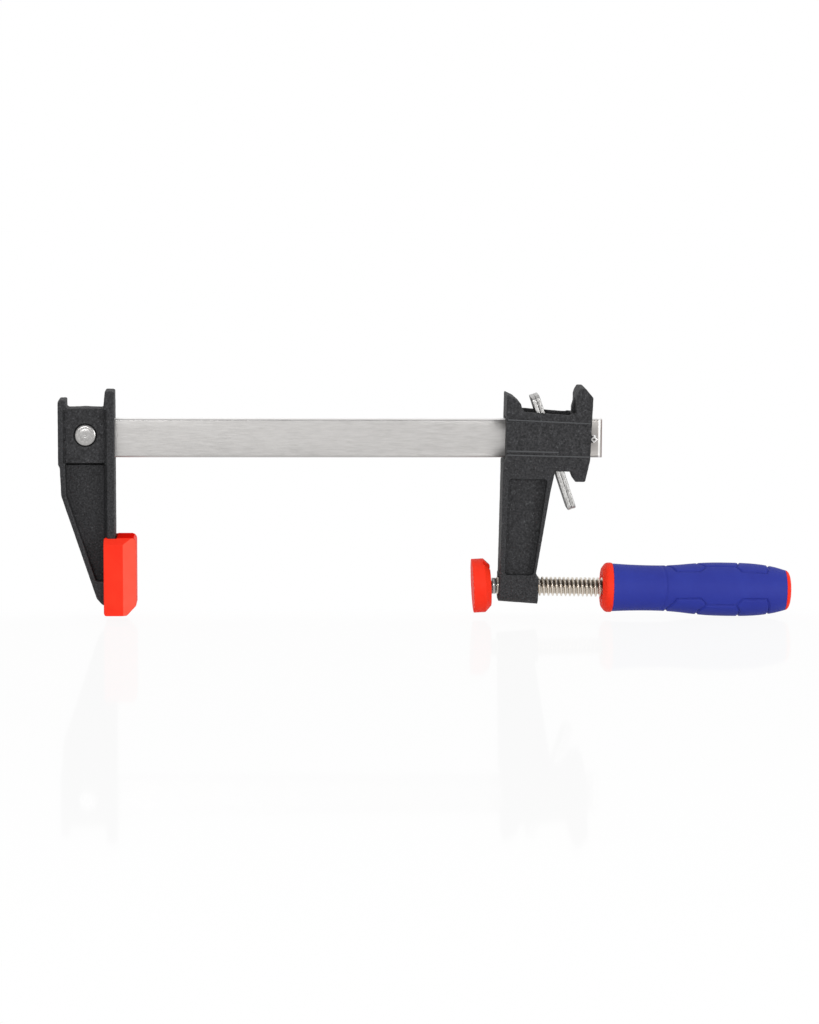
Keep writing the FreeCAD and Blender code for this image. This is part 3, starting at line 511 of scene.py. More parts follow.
# %% Mix the plastics
RED = make_plastic("red hard plastic", rgba(252, 46, 22), rgba(254, 58, 32), (0.5, 0.62), 0.35, 0.03, 0.15)
RED_PAINTED_SHEEN = make_plastic("red plastic with painted sheen", rgba(252, 84, 62), rgba(254, 94, 74), (0.4, 0.5),
                        0.35, 0.02, 0.15)
RED_MATT_PAINTED_SHADE = make_plastic("red plastic matt with painted shade", rgba(250, 22, 12), rgba(252, 30, 18), (0.8, 0.9), 0.35, 0.03, 0.0)
BLUE = make_plastic("blue soft grip", rgba(26, 40, 144), rgba(32, 48, 153), (0.58, 0.72), 0.3, 0.05, 0.4)
print("plastics:", [m.name for m in (RED, RED_PAINTED_SHEEN, RED_MATT_PAINTED_SHADE, BLUE)])

# %% [markdown]
# ## The two castings
#
# The fixed jaw and the sliding head come out of sand moulds, so nothing on them is sharp: every
# edge is rounded by about half a millimetre, inside corners are filled, and the faces wander a
# little. Bevelling such a shape edge by edge fails where edges crowd. Here the welded copy is
# first corrected where the photograph differs from the CAD solid: points are pushed, and grooves
# are carved. Then it is rebuilt as an even skin of small quads, which is relaxed and lifted by a
# soft noise. All numbers in this part are millimetres in the frame of the clamp.

# %% Push points and carve
def push(piece, what, rule, offset):
    """Move the points that a rule picks by x, y and z. They stay selected."""
    work_on(piece)
    bpy.ops.object.mode_set(mode="EDIT")
    bpy.ops.mesh.select_mode(type="VERT")
    bpy.ops.mesh.select_all(action="DESELECT")
    bpy.ops.object.mode_set(mode="OBJECT")
    for point in piece.data.vertices:
        point.select = rule(*(point.co / MM))
    count = sum(point.select for point in piece.data.vertices)
    bpy.ops.object.mode_set(mode="EDIT")
    bpy.ops.transform.translate(value=[v * MM for v in offset])
    bpy.ops.object.mode_set(mode="OBJECT")
    print(piece.name, "-", what, "-", count, "points by", offset)


def oblong(x_from, x_to, z_from, z_to):
    return [(x_from, z_from), (x_to, z_from), (x_to, z_to), (x_from, z_to)]


def block(corners, y_from, y_to):
    """A prism through (x, z) corners, drawn as a face and extruded across the clamp."""
    prism = draw_outline("prism", [(x * MM, z * MM) for x, z in corners], True)
    on_all(prism, bpy.ops.transform.translate, value=(0, y_from * MM, 0))
    on_all(prism, bpy.ops.mesh.edge_face_add)
    on_all(prism, bpy.ops.mesh.extrude_region_move,
           TRANSFORM_OT_translate={"value": (0, (y_to - y_from) * MM, 0)})
    on_all(prism, bpy.ops.mesh.normals_make_consistent, inside=False)
    return prism


def carve(piece, cutter):
    modify(piece, "BOOLEAN", operation="DIFFERENCE", object=cutter, solver="EXACT")
    bpy.data.objects.remove(cutter)
    print(piece.name, "points after the cut:", len(piece.data.vertices))


print("carving tools ready")

# %% Shape the fixed jaw's copy
fixed = merged_copy("fixed_jaw", "fixed_jaw_casting")
low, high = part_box("fixed_jaw")
OUTER, FACE = low.x / MM, high.x / MM
OUTER_WALL, CLAMP_WALL = OUTER + 2.5, FACE - 2.9
BLOCK_FOOT, BLOCK_TOP, BLOCK_FROM, BLOCK_TO = 61.8, 88.15, -34.2, -14.6
for level in (BLOCK_TOP, BLOCK_TOP - 0.3):
    on_all(fixed, bpy.ops.mesh.bisect, plane_co=(0, 0, level * MM), plane_no=(0, 0, 1))
for what, rule, offset in (
        ("outer horn wider at the top",
         lambda x, y, z: z > BLOCK_TOP - 0.01 and OUTER + 1.5 < x < OUTER_WALL + 1.5, (1.3, 0, 0)),
        ("clamping horn wider at the top",
         lambda x, y, z: z > BLOCK_TOP - 0.01 and CLAMP_WALL - 1.5 < x < CLAMP_WALL + 1.8, (-1.8, 0, 0)),
        ("flange's inner wall at the web",
         lambda x, y, z: z < 80 and abs(y) < 2.9 and CLAMP_WALL - 1.3 < x < CLAMP_WALL + 0.1, (-2.0, 0, 0)),
        ("flange's inner wall at the block",
         lambda x, y, z: z < BLOCK_TOP - 0.01 and 6 < abs(y) < 6.4 and abs(x - CLAMP_WALL) < 0.1,
         (-1.7, 0, 0)),
        ("clamping face", lambda x, y, z: x > FACE - 0.1, (0.6, 0, 0))):
    push(fixed, what, rule, offset)
for side in (-1, 1):
    carve(fixed, block(oblong(BLOCK_FROM, BLOCK_TO, BLOCK_FOOT - 1.3, BLOCK_FOOT), 3.2 * side, 0.9 * side))
    carve(fixed, block(oblong(OUTER_WALL, OUTER_WALL + 0.8, BLOCK_FOOT, BLOCK_TOP - 1.5),
                       7.2 * side, 5.3 * side))

# %% Widen the rivet's seat
rivet_seat, rivet_half = centre_of("jaw_rivet")
RIVET_SHIFT, SEAT_RADIUS, SEAT_GROWTH = -0.5, 5.6, 1.13
RIVET_AT = rivet_seat + Vector((RIVET_SHIFT * MM, 0, 0))


def in_seat_wall(x, y, z):
    """The wall of the hole that holds the rivet's head, on either side of the jaw."""
    return abs(y) > 4.9 and math.hypot(x - rivet_seat.x / MM, z - rivet_seat.z / MM) < SEAT_RADIUS


push(fixed, "rivet's seat", in_seat_wall, (RIVET_SHIFT, 0, 0))
bpy.ops.object.mode_set(mode="EDIT")
bpy.ops.transform.resize(value=(SEAT_GROWTH, 1, SEAT_GROWTH), center_override=RIVET_AT)
bpy.ops.object.mode_set(mode="OBJECT")

# %% Shape the sliding head's copy
head = merged_copy("sliding_jaw", "sliding_head_casting")
NOTCH = [(209.5, 86.1), (214.0, 85.9), (214.0, 99.0), (209.5, 99.0)]
for near, far in ((-12, -3.2), (3.2, 12)):
    carve(head, block(NOTCH, near, far))


def in_pocket(y):
    """Between the arm's web and its outer faces."""
    return 2.9 < abs(y) < 9.6


for what, rule, offset in (
        ("boss's rear", lambda x, y, z: x > 195.5 and z < 9.5, (-1.1, 0, 0)),
        ("waist's front", lambda x, y, z: 180.6 < x < 181.5 and 63.5 < z < 83.2, (-1.0, 0, 0)),
        ("arm's front", lambda x, y, z: x < 179.6 and 0.35 < z < 63 and abs(y) > 9.3, (-0.8, 0, 0)),
        ("rear horn's outside", lambda x, y, z: x > 220 and z > 84, (0.7, 0, 0)),
        ("pocket's left side", lambda x, y, z: 180.7 < x < 186 and 7 < z < 55 and in_pocket(y), (-0.8, 0, 0)),
        ("pocket's foot", lambda x, y, z: 179.8 < x < 197 and 7 < z < 14 and in_pocket(y), (0, 0, -1.2))):
    push(head, what, rule, offset)
POCKET_FLOOR, CHANNEL_WALL = 3.0, 8.2
for side in (-1, 1):
    push(head, "pocket's floor",
         lambda x, y, z: z < 56 and abs(y - POCKET_FLOOR * side) < 0.05, (0, 2.2 * side, 0))
    push(head, "channel's wall",
         lambda x, y, z: z > 84 and abs(y - CHANNEL_WALL * side) < 0.05, (0, 0.9 * side, 0))

# %% Cast both jaws
SKIN, SAND_SIZE, SAND_HEIGHT = 0.34 * MM, 1.6 * MM, 0.14 * MM


def cast(piece, body, node_name, keep):
    """Skin, relax and roughen a casting, and keep a share of its triangles."""
    modify(piece, "REMESH", mode="VOXEL", voxel_size=SKIN, use_smooth_shade=True)
    modify(piece, "SMOOTH", factor=0.5, iterations=2)
    sand = bpy.data.textures.new(piece.name + " sand", "CLOUDS")
    sand.noise_scale = SAND_SIZE
    modify(piece, "DISPLACE", texture=sand, texture_coords="LOCAL", strength=SAND_HEIGHT, mid_level=0.55)
    modify(piece, "DECIMATE", ratio=keep)
    settle(piece, BLACK, body, node_name)


cast(fixed, "bar_frame", "fixed_jaw", 0.75)
cast(head, "sliding_head", "sliding_jaw", 0.66)

# %% Beads along the head, rubbed thin and painted lighter as a highlight
BEAD_LINES = (((180.6, 83.5), (221.0, 81.6)), ((180.4, 66.3), (220.8, 65.3)), ((180.4, 68.3), (205.5, 67.6)))
BEAD_HALF, BEAD_BURIED, BEAD_TOP = 0.3, 10.6, 11.45
for (x0, z0), (x1, z1) in BEAD_LINES:
    for side in (-1, 1):
        bead = block([(x0, z0 - BEAD_HALF), (x1, z1 - BEAD_HALF), (x1, z1 + BEAD_HALF), (x0, z0 + BEAD_HALF)],
                     BEAD_BURIED * side, BEAD_TOP * side)
        modify(bead, "BEVEL", width=0.12 * MM, segments=2, limit_method="ANGLE")
        bead.data.materials.append(RUBBED_PAINT_AND_HIGHLIGHT)
        join(head, bead)
head.data.materials[1] = RUBBED_PAINT_AND_HIGHLIGHT
print("materials on the head:", [m.name for m in head.data.materials])

# %% [markdown]
# ## Bar and clutch plates
#
# These are cut from flat steel, so their faces stay flat and their edges crisp. The copies keep
# the CAD outline. Flat areas are dissolved into single faces first, because a bevel follows
# face borders, and then a narrow bevel gives each edge the bright line that real steel shows.
# Some faces take a second colour: the bar's top, painted lighter as a highlight, and the plates'
# wide sides, painted dark as shade.

# %% Bar and plates
def eased(node_name, name, body, material, width=0, segments=3, bend=40, smooth_below=40):
    """A CAD copy whose edges that bend more than some degrees get a narrow bevel."""
    piece = merged_copy(node_name, name)
    on_all(piece, bpy.ops.mesh.dissolve_limited, angle_limit=math.radians(0.5))
    if width:
        modify(piece, "BEVEL", width=width, segments=segments, limit_method="ANGLE",
               angle_limit=math.radians(bend))
    smooth(piece, smooth_below)
    settle(piece, material, body, node_name)
    return piece


def second_finish(piece, material, rule):
    """Give another finish to the faces whose normal a rule picks."""
    piece.data.materials.append(material)
    for face in piece.data.polygons:
        face.material_index = int(rule(face.normal))
    print(piece.name, "faces with", material.name, sum(f.material_index for f in piece.data.polygons))


bar = eased("bar", "flat_bar", "bar_frame", ZINC)
# the bar's top faces are painted lighter as a highlight
second_finish(bar, STEEL_PAINTED_HIGHLIGHT, lambda normal: normal.z > 0.8)
for node_name, name in (("clutch_plate_front", "front_plate"), ("clutch_plate_rear", "rear_plate")):
    plate = eased(node_name, name, "clutch_plates", BLANKED, 0.4 * MM)
    wide = max(plate.data.polygons, key=lambda f: f.area).normal.copy()
    # the plates' wide faces are painted dark as shade
    second_finish(plate, STEEL_PAINTED_SHADE, lambda normal: abs(normal.dot(wide)) > 0.95)

# %% [markdown]
# ## Rivet and stop pin
#
# The rivet is pressed over at both ends. Each head shows a rounded rim, a shallow ring from the
# tool and a centre dimple, so its outline is drawn with those and turned. The stop pin is
# staked by a square punch, which leaves a low four-sided point with its corners up and down.
# Its rim is painted light as a highlight and its centre dark as shade, and a thin dark plate
# under it, set off to the left, is a painted shadow.

# %% Rivet
def rivet_head(half, radius):
    """Half of the outline, from the dimple over the rim and down to the shank."""
    return [(half - 0.3 * MM, 0), (half - 0.25 * MM, 0.35 * MM), (half - 0.04 * MM, 0.7 * MM),
            (half, 0.9 * MM), (half, 3.0 * MM), (half - 0.05 * MM, 3.15 * MM), (half - 0.02 * MM, 3.35 * MM),
            (half - 0.04 * MM, radius - 0.8 * MM), (half - 0.15 * MM, radius - 0.45 * MM),
            (half - 0.4 * MM, radius), (half - 0.75 * MM, radius), (half - 1.6 * MM, radius - 0.5 * MM),
            (half - 2.2 * MM, radius - 0.5 * MM), (half - 2.2 * MM, 3.5 * MM)]


profile = rivet_head(rivet_half.y, rivet_half.x)
rivet = turned_piece("jaw_rivet_pressed", [(-x, r) for x, r in profile] + profile[::-1], 72, 0.06 * MM)
place(rivet, RIVET_AT, (0, 0, math.radians(90)))
settle(rivet, BRIGHT, "bar_frame", "jaw_rivet")

# %% A peg with inset ends
def diamond(half_width, depth, steps):
    """A square peg on its corner, each end inset in steps of (thickness, sink)."""
    bpy.ops.mesh.primitive_cylinder_add(vertices=4, radius=half_width, depth=depth, end_fill_type="NGON")
    peg = bpy.context.object
    for side in (1, -1):
        for thickness, sink in steps:
            bpy.ops.object.mode_set(mode="EDIT")
            bpy.ops.mesh.select_mode(type="FACE")
            bpy.ops.mesh.select_all(action="DESELECT")
            bpy.ops.object.mode_set(mode="OBJECT")
            ends = [f for f in peg.data.polygons if f.normal.z * side > 0.9]
            min(ends, key=lambda f: math.hypot(f.center.x, f.center.y)).select = True
            bpy.ops.object.mode_set(mode="EDIT")
            bpy.ops.mesh.inset(thickness=thickness, depth=sink)
            bpy.ops.mesh.select_mode(type="VERT")
            bpy.ops.object.mode_set(mode="OBJECT")
    return peg


def finish_by_step(peg, half_width, steps):
    """Number the faces of both ends by how many steps in from the border they lie."""
    inner = [sum(thickness for thickness, _ in steps[:i + 1]) - 0.02 * MM for i in range(len(steps))]
    for face in peg.data.polygons:
        inward = (half_width - abs(face.center.x) - abs(face.center.y)) / math.sqrt(2)
        if abs(face.normal.z) > 0.4:
            face.material_index = sum(inward > step for step in inner)


print("peg tools ready")

# %% Stop pin
PIN_HALF, PIN_DEPTH, PIN_STEPS = 1.75 * MM, 1.3 * MM, ((0.34 * MM, 0.0), (0.5 * MM, -0.06 * MM))
SHADOW_HALF, SHADOW_DEPTH, SHADOW_STEPS = 1.85 * MM, 0.16 * MM, ((0.2 * MM, -0.05 * MM),)
SHADOW_SHIFT, PIN_SHIFT = -0.9 * MM, Vector((0.25 * MM, 0, -0.5 * MM))
# from the border inward: painted highlight on the rim, plain bright steel, painted shade at the centre
PIN_FINISHES = (STEEL_PAINTED_HIGHLIGHT, BRIGHT, STEEL_PAINTED_SHADE)
bar_thick = 2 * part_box("bar")[1].y
pin = diamond(PIN_HALF, bar_thick + PIN_DEPTH, PIN_STEPS)
pin.name = "stop_pin_staked"
finish_by_step(pin, PIN_HALF, PIN_STEPS)
for finish in PIN_FINISHES:
    pin.data.materials.append(finish)
modify(pin, "BEVEL", width=0.08 * MM, segments=2, limit_method="ANGLE", angle_limit=math.radians(50))
smooth(pin, 25)
# a thin dark plate under the pin, set off to the left: a painted shadow
seat = diamond(SHADOW_HALF, bar_thick + SHADOW_DEPTH, SHADOW_STEPS)
smooth(seat, 25)
place(seat, (SHADOW_SHIFT, 0, 0))
seat.data.materials.append(STEEL_PAINTED_SHADE)
join(pin, seat)
place(pin, centre_of("bar_end_stop")[0] + PIN_SHIFT, (math.radians(90), 0, 0))
numbers = [face.material_index for face in pin.data.polygons]
settle(pin, PIN_FINISHES[0], "bar_frame", "bar_end_stop")
for finish in PIN_FINISHES[1:]:
    pin.data.materials.append(finish)
for face, number in zip(pin.data.polygons, numbers):
    face.material_index = number

# %% [markdown]
# ## Screw with its acme thread
#
# The thread is 3/8 in acme with twelve turns to the inch: flat crests, flat roots and flanks at
# 14.5 degrees. The CAD rod stands in for it. Here one tooth's outline is drawn and swept round
# and along by one pitch a turn, so neighbouring turns meet and weld into one skin. A plane at
# each end trims the skin square and closes it.

# %% Thread
PITCH = 25.4 / 12 * MM
CREST, ROOT, EASE = 4.74 * MM, 3.48 * MM, 0.09 * MM
THREAD_FROM, THREAD_TO = 8.2 * MM, 60.5 * MM


def trim(piece, at, keep_above):
    """Cut the piece square to X and close the cut."""
    on_all(piece, bpy.ops.mesh.bisect, plane_co=(at, 0, 0), plane_no=(1, 0, 0), use_fill=True,
           clear_inner=keep_above, clear_outer=not keep_above)


flank = (CREST - ROOT) * math.tan(math.radians(14.5))
flat = (PITCH - 2 * flank) / 2
tooth = [(0, ROOT), (flat - EASE, ROOT), (flat, ROOT + EASE), (flat + flank, CREST - EASE),
         (flat + flank + EASE, CREST), (2 * flat + flank - EASE, CREST), (2 * flat + flank, CREST - EASE),
         (PITCH - EASE / 2, ROOT + EASE / 2), (PITCH, ROOT)]
turns = round((THREAD_TO - THREAD_FROM) / PITCH) + 3
thread = draw_outline("screw_threaded", [(x + THREAD_FROM - 2 * PITCH, r) for x, r in tooth])
modify(thread, "SCREW", axis="X", steps=56, render_steps=56, iterations=turns, screw_offset=PITCH,
       use_smooth_shade=True)
weld(thread)
trim(thread, THREAD_FROM, True)
trim(thread, THREAD_TO, False)
weld(thread)
smooth(thread, 40)
print("thread:", turns, "turns swept, pitch", round(PITCH / MM, 3), "mm")

# %% Nose, neck, ball and tail
def arc(centre, radius, start, end, count):
    """Points on a circle of the outline plane, from start to end in degrees."""
    angles = [math.radians(start + (end - start) * i / (count - 1)) for i in range(count)]
    return [(centre[0] + radius * math.cos(a), centre[1] + radius * math.sin(a)) for a in angles]


BALL_RADIUS, NOSE, NECK, TAIL = 3.2 * MM, 4.15 * MM, 2.2 * MM, 3.8 * MM
NECK_FROM, SHOULDER, TAIL_END = 2.6 * MM, 5.65 * MM, 72 * MM
CORE = ROOT - 0.1 * MM
shank = turned_piece("screw_shank", [
    *arc((0, 0), BALL_RADIUS, 180, 46, 16),
    (NECK_FROM, NECK), (SHOULDER, NECK), (SHOULDER, NOSE - 0.35 * MM), (SHOULDER + 0.35 * MM, NOSE),
    (THREAD_FROM, NOSE), (THREAD_FROM + 0.5 * MM, CORE), (THREAD_TO - 0.5 * MM, CORE),
    (THREAD_TO, TAIL), (TAIL_END, TAIL), (TAIL_END, 0)], 64)
join(thread, shank)
place(thread, BALL, (0, LEAN, 0))
settle(thread, THREADED, "spindle", "screw")

# %% [markdown]
# ## Collar, cup and clutch spring
#
# The small split collar keeps the cup on the neck, and the cup holds the ball. Both keep their
# CAD form with eased edges. The collar is turned a quarter round the screw, because its slit faces
# up in the photograph. The clutch spring is wound: a small circle is swept round the spring's
# axis, one pitch a turn, and its two cut ends are closed. It sits behind the plates and gives way
# when they are pushed.

# %% Collar and cup
collar = eased("swivel_collar", "split_collar", "neck_collar", BRIGHT, 0.15 * MM, 2, 50, 35)
quarter = Matrix.Rotation(math.radians(-90), 3, Vector(joint["screw_turn"]["axis"]) * -1)
place(collar, BALL - quarter @ BALL, quarter.to_euler())
eased("swivel_cup", "ball_cup", "swivel", BLANKED, 0.2 * MM, 2, 50, 35)

# %% Clutch spring
COIL_OUTER, WIRE, COIL_TURNS = 2.0 * MM, 0.3 * MM, 6
middle, half = centre_of("clutch_spring")
wire_ring = [(x, r + COIL_OUTER - WIRE) for x, r in arc((0, 0), WIRE, 0, 330, 12)]
coil = draw_outline("coil_spring", wire_ring, True)
modify(coil, "SCREW", axis="X", steps=32, render_steps=32, iterations=COIL_TURNS,
       screw_offset=(2 * half.x - 2 * WIRE) / COIL_TURNS, use_smooth_shade=True)
work_on(coil)
bpy.ops.object.mode_set(mode="EDIT")
bpy.ops.mesh.select_all(action="DESELECT")
bpy.ops.mesh.select_non_manifold()
bpy.ops.mesh.fill_holes(sides=0)
bpy.ops.object.mode_set(mode="OBJECT")
weld(coil)
smooth(coil, 60)
place(coil, middle - Vector((half.x - WIRE, 0, 0)), (0, LEAN, 0))
settle(coil, SPRING_STEEL, "sliding_head", "clutch_spring")
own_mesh(coil)

# %% [markdown]
# ## Red pads
#
# Both pads are injection moulded, with soft edges all round and crisp flats between them. They
# get the same treatment as the castings with a finer skin and no noise, which rounds inside and
# outside corners alike. The faces of the fixed pad then take a colour by where they look: a
# painted sheen on the bevels beside the clamping face, and matt with painted shade on the top.

# %% Red pads
def mould(node_name, name, body, voxel):
    piece = merged_copy(node_name, name)
    modify(piece, "REMESH", mode="VOXEL", voxel_size=voxel, use_smooth_shade=True)
    modify(piece, "SMOOTH", factor=0.5, iterations=2)
    settle(piece, RED, body, node_name)
    return piece


jaw_pad = mould("fixed_jaw_pad", "jaw_pad", "bar_frame", 0.27 * MM)
mould("moving_jaw_pad", "round_pad", "moving_pad", 0.22 * MM)

# %% Painted sheen on the bevels, painted shade on the matt top
for finish in (RED_PAINTED_SHEEN, RED_MATT_PAINTED_SHADE):
    jaw_pad.data.materials.append(finish)
for face in jaw_pad.data.polygons:
    slope, _, rise = face.normal
    # top faces: matt and painted darker as shade; bevels: painted lighter as a sheen
    if rise > 0.85:
        face.material_index = 2
    elif 0.35 < slope < 0.92 and abs(rise) < 0.45:
        face.material_index = 1
print("polished and matt:", [sum(f.material_index == i for f in jaw_pad.data.polygons) for i in (1, 2)])

# %% [markdown]
# ## Handle
#
# The handle is two shots of plastic: a hard red core, seen as the collar in front, and a soft
# blue grip moulded over it, closed by a red cap. All are bodies of revolution, so they are
# turned. The grip's waist and belly follow a smooth curve through diameters along its length.

# %% Core and end cap
FRONT, COLLAR_END, BACK = 57.7 * MM, 63.1 * MM, 148.7 * MM
COLLAR_STEP, COLLAR_RADIUS, CORE_RADIUS = 10.6 * MM, 12.2 * MM, 7.5 * MM
core = turned_piece("handle_collar", [
    (FRONT + 1.6 * MM, 0), (FRONT + 1.6 * MM, 5.2 * MM), (FRONT + 0.5 * MM, 6.2 * MM),
    *arc((FRONT + 1.6 * MM, COLLAR_STEP - 1.6 * MM), 1.6 * MM, 180, 130, 6),
    *arc((FRONT + 3.3 * MM, COLLAR_RADIUS - 2.6 * MM), 2.6 * MM, 150, 90, 8),
    *arc((COLLAR_END - 0.9 * MM, COLLAR_RADIUS - 0.9 * MM), 0.9 * MM, 90, 20, 6),
    (COLLAR_END, 11.0 * MM), (COLLAR_END, CORE_RADIUS), (BACK, CORE_RADIUS), (BACK, 0)], 128)
place(core, BALL, (0, LEAN, 0))
settle(core, RED, "spindle", "handle_core")

RIM, DOME, PLUG, PLUG_DEPTH = 9.85 * MM, 2.6 * MM, 4.5 * MM, 9 * MM
CAP_FOOT = BACK + 0.05 * MM
dome_angles = [math.radians(4 + 82 * i / 15) for i in range(16)]
cap = turned_piece("handle_cap", [
    (BACK - PLUG_DEPTH, 0), (BACK - PLUG_DEPTH, PLUG), (CAP_FOOT, PLUG), (CAP_FOOT, RIM - 0.2 * MM),
    *[(CAP_FOOT + DOME * math.sin(a), RIM * math.cos(a) ** 0.45) for a in dome_angles],
    (CAP_FOOT + DOME, 0)], 128)
place(cap, BALL, (0, LEAN, 0))
settle(cap, RED, "spindle", "handle_end_cap")

# %% Turn the grip
GRIP_SHAPE = [(0, 23.5), (0.10, 22.7), (0.20, 22.35), (0.30, 22.5), (0.38, 23.4), (0.46, 24.8), (0.54, 25.9),
              (0.62, 26.3), (0.70, 26.3), (0.78, 26.0), (0.86, 24.9), (0.94, 22.6), (1, 19.8)]
STATIONS, GRIP_BORE = 250, 7.6 * MM


def curve_through(table, share):
    """Smooth curve through a table of (share, value) points."""
    knots = [table[0]] + list(table) + [table[-1]]
    for i in range(1, len(knots) - 2):
        (s0, v0), (s1, v1), (s2, v2), (s3, v3) = knots[i - 1:i + 3]
        if share <= s2:
            t = (share - s1) / (s2 - s1)
            out = (v2 - v0) / (s2 - s0) * (s2 - s1)
            into = (v3 - v1) / (s3 - s1) * (s2 - s1)
            return (v1 * (2 * t**3 - 3 * t**2 + 1) + out * (t**3 - 2 * t**2 + t)
                    + v2 * (3 * t**2 - 2 * t**3) + into * (t**3 - t**2))
    return table[-1][1]


length = BACK - COLLAR_END
rings = [(COLLAR_END + length * i / STATIONS, curve_through(GRIP_SHAPE, i / STATIONS) / 2 * MM)
         for i in range(STATIONS + 1)]
grip = turned_piece("soft_grip", [(COLLAR_END, GRIP_BORE), *rings, (BACK, GRIP_BORE)], 264)
print("grip:", len(grip.data.vertices), "points")

# %% [markdown]
# The grip's panels are outlined by shallow grooves. They are laid out here as a mould maker would
# mark them: millimetres along from the collar, and degrees round from the middle of the bare
# label face. The pattern is the same on both sides of that middle, and again on the far side of
# the handle. Points near a line get a weight, and the Displace modifier sinks the skin by it.

# %% Mark out the panels
LABEL_FACE, MEAN_RADIUS = 18.7, 12.6
AROUND = math.radians(1) * MEAN_RADIUS
GROOVES = (
    ((26.4, 90), (26.8, 70), (29.3, 52.5), (30.9, 37.5), (42.5, 33.3), (44.9, 43.5), (45.4, 51),
     (42.2, 68), (41.6, 90)),
    ((62.3, 90), (62.2, 64), (60.4, 47.8), (63.2, 32.3), (75.4, 32.6), (76.8, 48.6), (76.9, 66), (77, 90)),
    ((45.3, 49.5), (60.6, 48)),
)
FAINT_GROOVE = ((24.2, 75), (24.6, 60), (25.3, 39), (25.8, 17), (25.9, 0))
GROOVE_DEPTH, GROOVE_HALF, FAINT_HALF, FAINT_SHARE = 0.75 * MM, 0.85, 1.1, 0.5
GROOVED_FROM, GROOVED_TO, UNDER_SKIN = 22, 79, 9 * MM


def fade(value):
    """A smooth step from 0 to 1."""
    t = min(max(value, 0), 1)
    return t * t * (3 - 2 * t)


def off_line(line, x, y):
    """Distance in mm from a point to a line of several runs."""
    nearest = 99
    for (x0, t0), (x1, t1) in zip(line, line[1:]):
        dx, dy = x1 - x0, (t1 - t0) * AROUND
        share = min(max(((x - x0) * dx + (y - t0 * AROUND) * dy) / (dx * dx + dy * dy), 0), 1)
        nearest = min(nearest, math.hypot(x - x0 - share * dx, y - t0 * AROUND - share * dy))
    return nearest


print("grooves:", len(GROOVES) + 1, "on each quarter of the grip")

# %% Press them into the grip
pressed = grip.vertex_groups.new(name="pressed")
count = 0
for point in grip.data.vertices:
    x = (point.co.x - COLLAR_END) / MM
    if math.hypot(point.co.y, point.co.z) < UNDER_SKIN or not GROOVED_FROM < x < GROOVED_TO:
        continue
    degrees = math.degrees(math.atan2(point.co.z, -point.co.y))
    y = abs((degrees - LABEL_FACE + 90) % 180 - 90) * AROUND
    weight = max(FAINT_SHARE * fade(1 - off_line(FAINT_GROOVE, x, y) / FAINT_HALF),
                 *(fade(1 - off_line(line, x, y) / GROOVE_HALF) for line in GROOVES))
    if weight > 0:
        pressed.add([point.index], weight, "REPLACE")
        count += 1
modify(grip, "DISPLACE", strength=-GROOVE_DEPTH, mid_level=0, vertex_group="pressed")
smooth(grip, 50)
place(grip, BALL, (0, LEAN, 0))
settle(grip, BLUE, "spindle", "handle_grip")
print("pressed points:", count)

# %% [markdown]
# ## Floor, light and camera
#
# The picture is a plain studio shot on white. The floor lies just under the clamp and keeps a
# trace of its shadow and mirror image. What the camera sees of floor and world is white by Light
# Path, so the lamps can stay at the plain level at which a colour renders as written.

# %% Floor
FLOOR_LEVEL, UNDER_CLAMP = cad_box[0].z - 0.2 * MM, 140 * MM
LIT_SHARE, MIRROR_SHARE = 0.06, 0.035
bpy.ops.mesh.primitive_plane_add(size=8, location=(UNDER_CLAMP, 0, FLOOR_LEVEL))
floor = bpy.context.object
floor.name = "studio_floor"
bpy.ops.object.transform_apply()
paper = bpy.data.materials.new("white studio paper")
paper.use_nodes = True
tree = paper.node_tree
tree.nodes.clear()
path = node(tree, "ShaderNodeLightPath")
seen = math_node(tree, "MAXIMUM", path.outputs["Is Camera Ray"], path.outputs["Is Glossy Ray"])
seen = math_node(tree, "MAXIMUM", seen, path.outputs["Is Transmission Ray"])
where = node(tree, "ShaderNodeTexCoord").outputs["Object"]
off_centre = node(tree, "ShaderNodeVectorMath", {0: where, 1: (UNDER_CLAMP, 0, FLOOR_LEVEL)},
                  operation="DISTANCE")
near = ramp(tree, off_centre.outputs["Value"], 0.75, 0.3)
in_front = ramp(tree, part_of(tree, where, "Y"), 0.03, -0.02)
lit = math_node(tree, "MULTIPLY", math_node(tree, "MULTIPLY", near, in_front), LIT_SHARE)
matt = node(tree, "ShaderNodeBsdfDiffuse", {"Color": (0.9, 0.9, 0.9, 1)})
glow = node(tree, "ShaderNodeEmission", {"Color": (1, 1, 1, 1), "Strength": 1.0})
mirror = node(tree, "ShaderNodeBsdfGlossy", {"Color": (1, 1, 1, 1), "Roughness": 0.05})
shown = node(tree, "ShaderNodeMixShader", {0: lit, 1: glow.outputs[0], 2: matt.outputs[0]})
white = node(tree, "ShaderNodeMixShader", {0: seen, 1: matt.outputs[0], 2: shown.outputs[0]})
mirrored = math_node(tree, "MULTIPLY", path.outputs["Is Camera Ray"], MIRROR_SHARE)
polish = node(tree, "ShaderNodeMixShader", {0: mirrored, 1: white.outputs[0], 2: mirror.outputs[0]})
node(tree, "ShaderNodeOutputMaterial", {"Surface": polish.outputs[0]})
floor.data.materials.append(paper)
print("floor at", round(FLOOR_LEVEL / MM, 2), "mm")

# %% World
world = bpy.data.worlds.new("studio")
bpy.context.scene.world = world
world.use_nodes = True
tree = world.node_tree
tree.nodes.clear()
path = node(tree, "ShaderNodeLightPath")
around = node(tree, "ShaderNodeTexCoord").outputs["Generated"]


def room_side(toward, start, full):
    """1 where a ray looks toward a side of the room, 0 elsewhere."""
    facing = node(tree, "ShaderNodeVectorMath", {0: around, 1: toward}, operation="DOT_PRODUCT")
    return ramp(tree, facing.outputs["Value"], start, full)


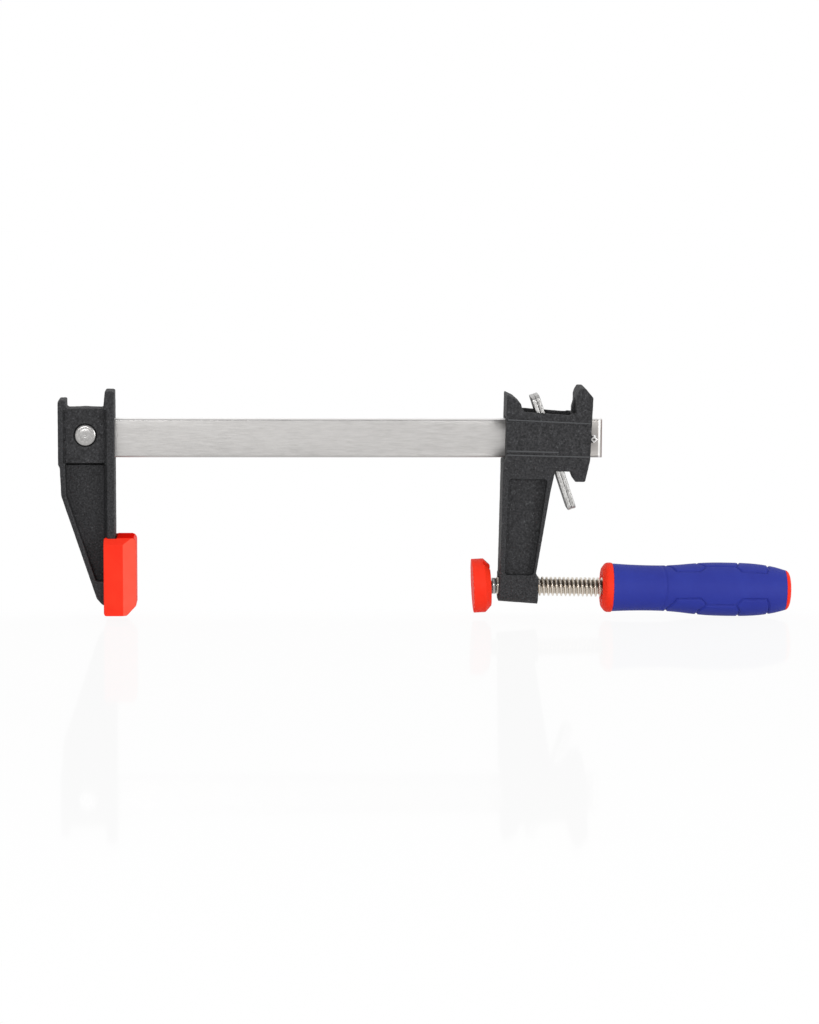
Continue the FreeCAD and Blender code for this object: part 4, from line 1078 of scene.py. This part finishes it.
sky = mix_colour(tree, room_side((0, -0.6, 0.8), 0.6, 0.86), (1, 1, 1, 1), (0.35, 0.35, 0.36, 1))
sky = mix_colour(tree, room_side((-1, 0, 0.1), 0.6, 0.9), sky, (0.3, 0.3, 0.3, 1))
plain = node(tree, "ShaderNodeBackground", {"Color": (1, 1, 1, 1), "Strength": 0.6})
glossy = node(tree, "ShaderNodeBackground", {"Color": sky, "Strength": 1.0})
clear = node(tree, "ShaderNodeBackground", {"Color": (1, 1, 1, 1), "Strength": 1.0})
shiny = math_node(tree, "MAXIMUM", path.outputs["Is Glossy Ray"], path.outputs["Is Transmission Ray"])
mixed = node(tree, "ShaderNodeMixShader", {0: shiny, 1: plain.outputs[0], 2: glossy.outputs[0]})
mixed = node(tree, "ShaderNodeMixShader", {0: path.outputs["Is Camera Ray"], 1: mixed.outputs[0],
                                          2: clear.outputs[0]})
node(tree, "ShaderNodeOutputWorld", {"Surface": mixed.outputs[0]})
print("world:", world.name)

# %% Lamps
AIM = Vector((0.14, 0, 0.04))


def softbox(name, place_at, width, height, power):
    """A rectangular lamp that looks at the middle of the clamp."""
    bpy.ops.object.light_add(type="AREA", location=place_at)
    lamp = bpy.context.object
    lamp.name = name
    lamp.data.shape = "RECTANGLE"
    lamp.data.size = width
    lamp.data.size_y = height
    lamp.data.energy = power
    lamp.rotation_euler = (AIM - Vector(place_at)).to_track_quat("-Z", "Y").to_euler()


softbox("key softbox", (-0.16, -1.45, 0.52), 0.3, 0.3, 5.0)
softbox("overhead softbox", (0.14, -0.1, 1.1), 1.2, 0.8, 2.0)
softbox("side softbox", (0.98, -0.85, 0.12), 0.6, 0.6, 5.0)

# %% [markdown]
# The photograph was taken from a good way off: the bar's two ends are the same height in it. The
# camera stands 1.6 m away, looks down by 7.6 degrees, which shows the tops of bar and pads, and
# stands a little to the left, which shows the left faces. The lens follows from the clamp's
# size in the frame of 819 by 1024 pixels.

# %% Camera
LOOK_AT = Vector((0.1335, 0, 0.0369))
SIDEWAYS, DOWN, ROLL, DISTANCE = math.radians(2.5), math.radians(7.6), math.radians(0.3), 1.6
FOCAL_PIXELS, FRAME_PIXELS, SENSOR_MM = 3264, 819, 36
away = Vector((-math.sin(SIDEWAYS) * math.cos(DOWN), -math.cos(SIDEWAYS) * math.cos(DOWN), math.sin(DOWN)))
right = Vector((math.cos(SIDEWAYS), -math.sin(SIDEWAYS), 0))
up = away.cross(right)
turned = Matrix.Rotation(ROLL, 3, away)
bpy.ops.object.camera_add(location=LOOK_AT + away * DISTANCE)
camera = bpy.context.object
camera.rotation_euler = Matrix((turned @ right, turned @ up, away)).transposed().to_euler()
camera.data.sensor_fit = "HORIZONTAL"
camera.data.sensor_width = SENSOR_MM
camera.data.lens = FOCAL_PIXELS / FRAME_PIXELS * SENSOR_MM
bpy.context.scene.camera = camera
bpy.context.scene.view_settings.view_transform = "Standard"
print("lens", round(camera.data.lens, 2), "mm")
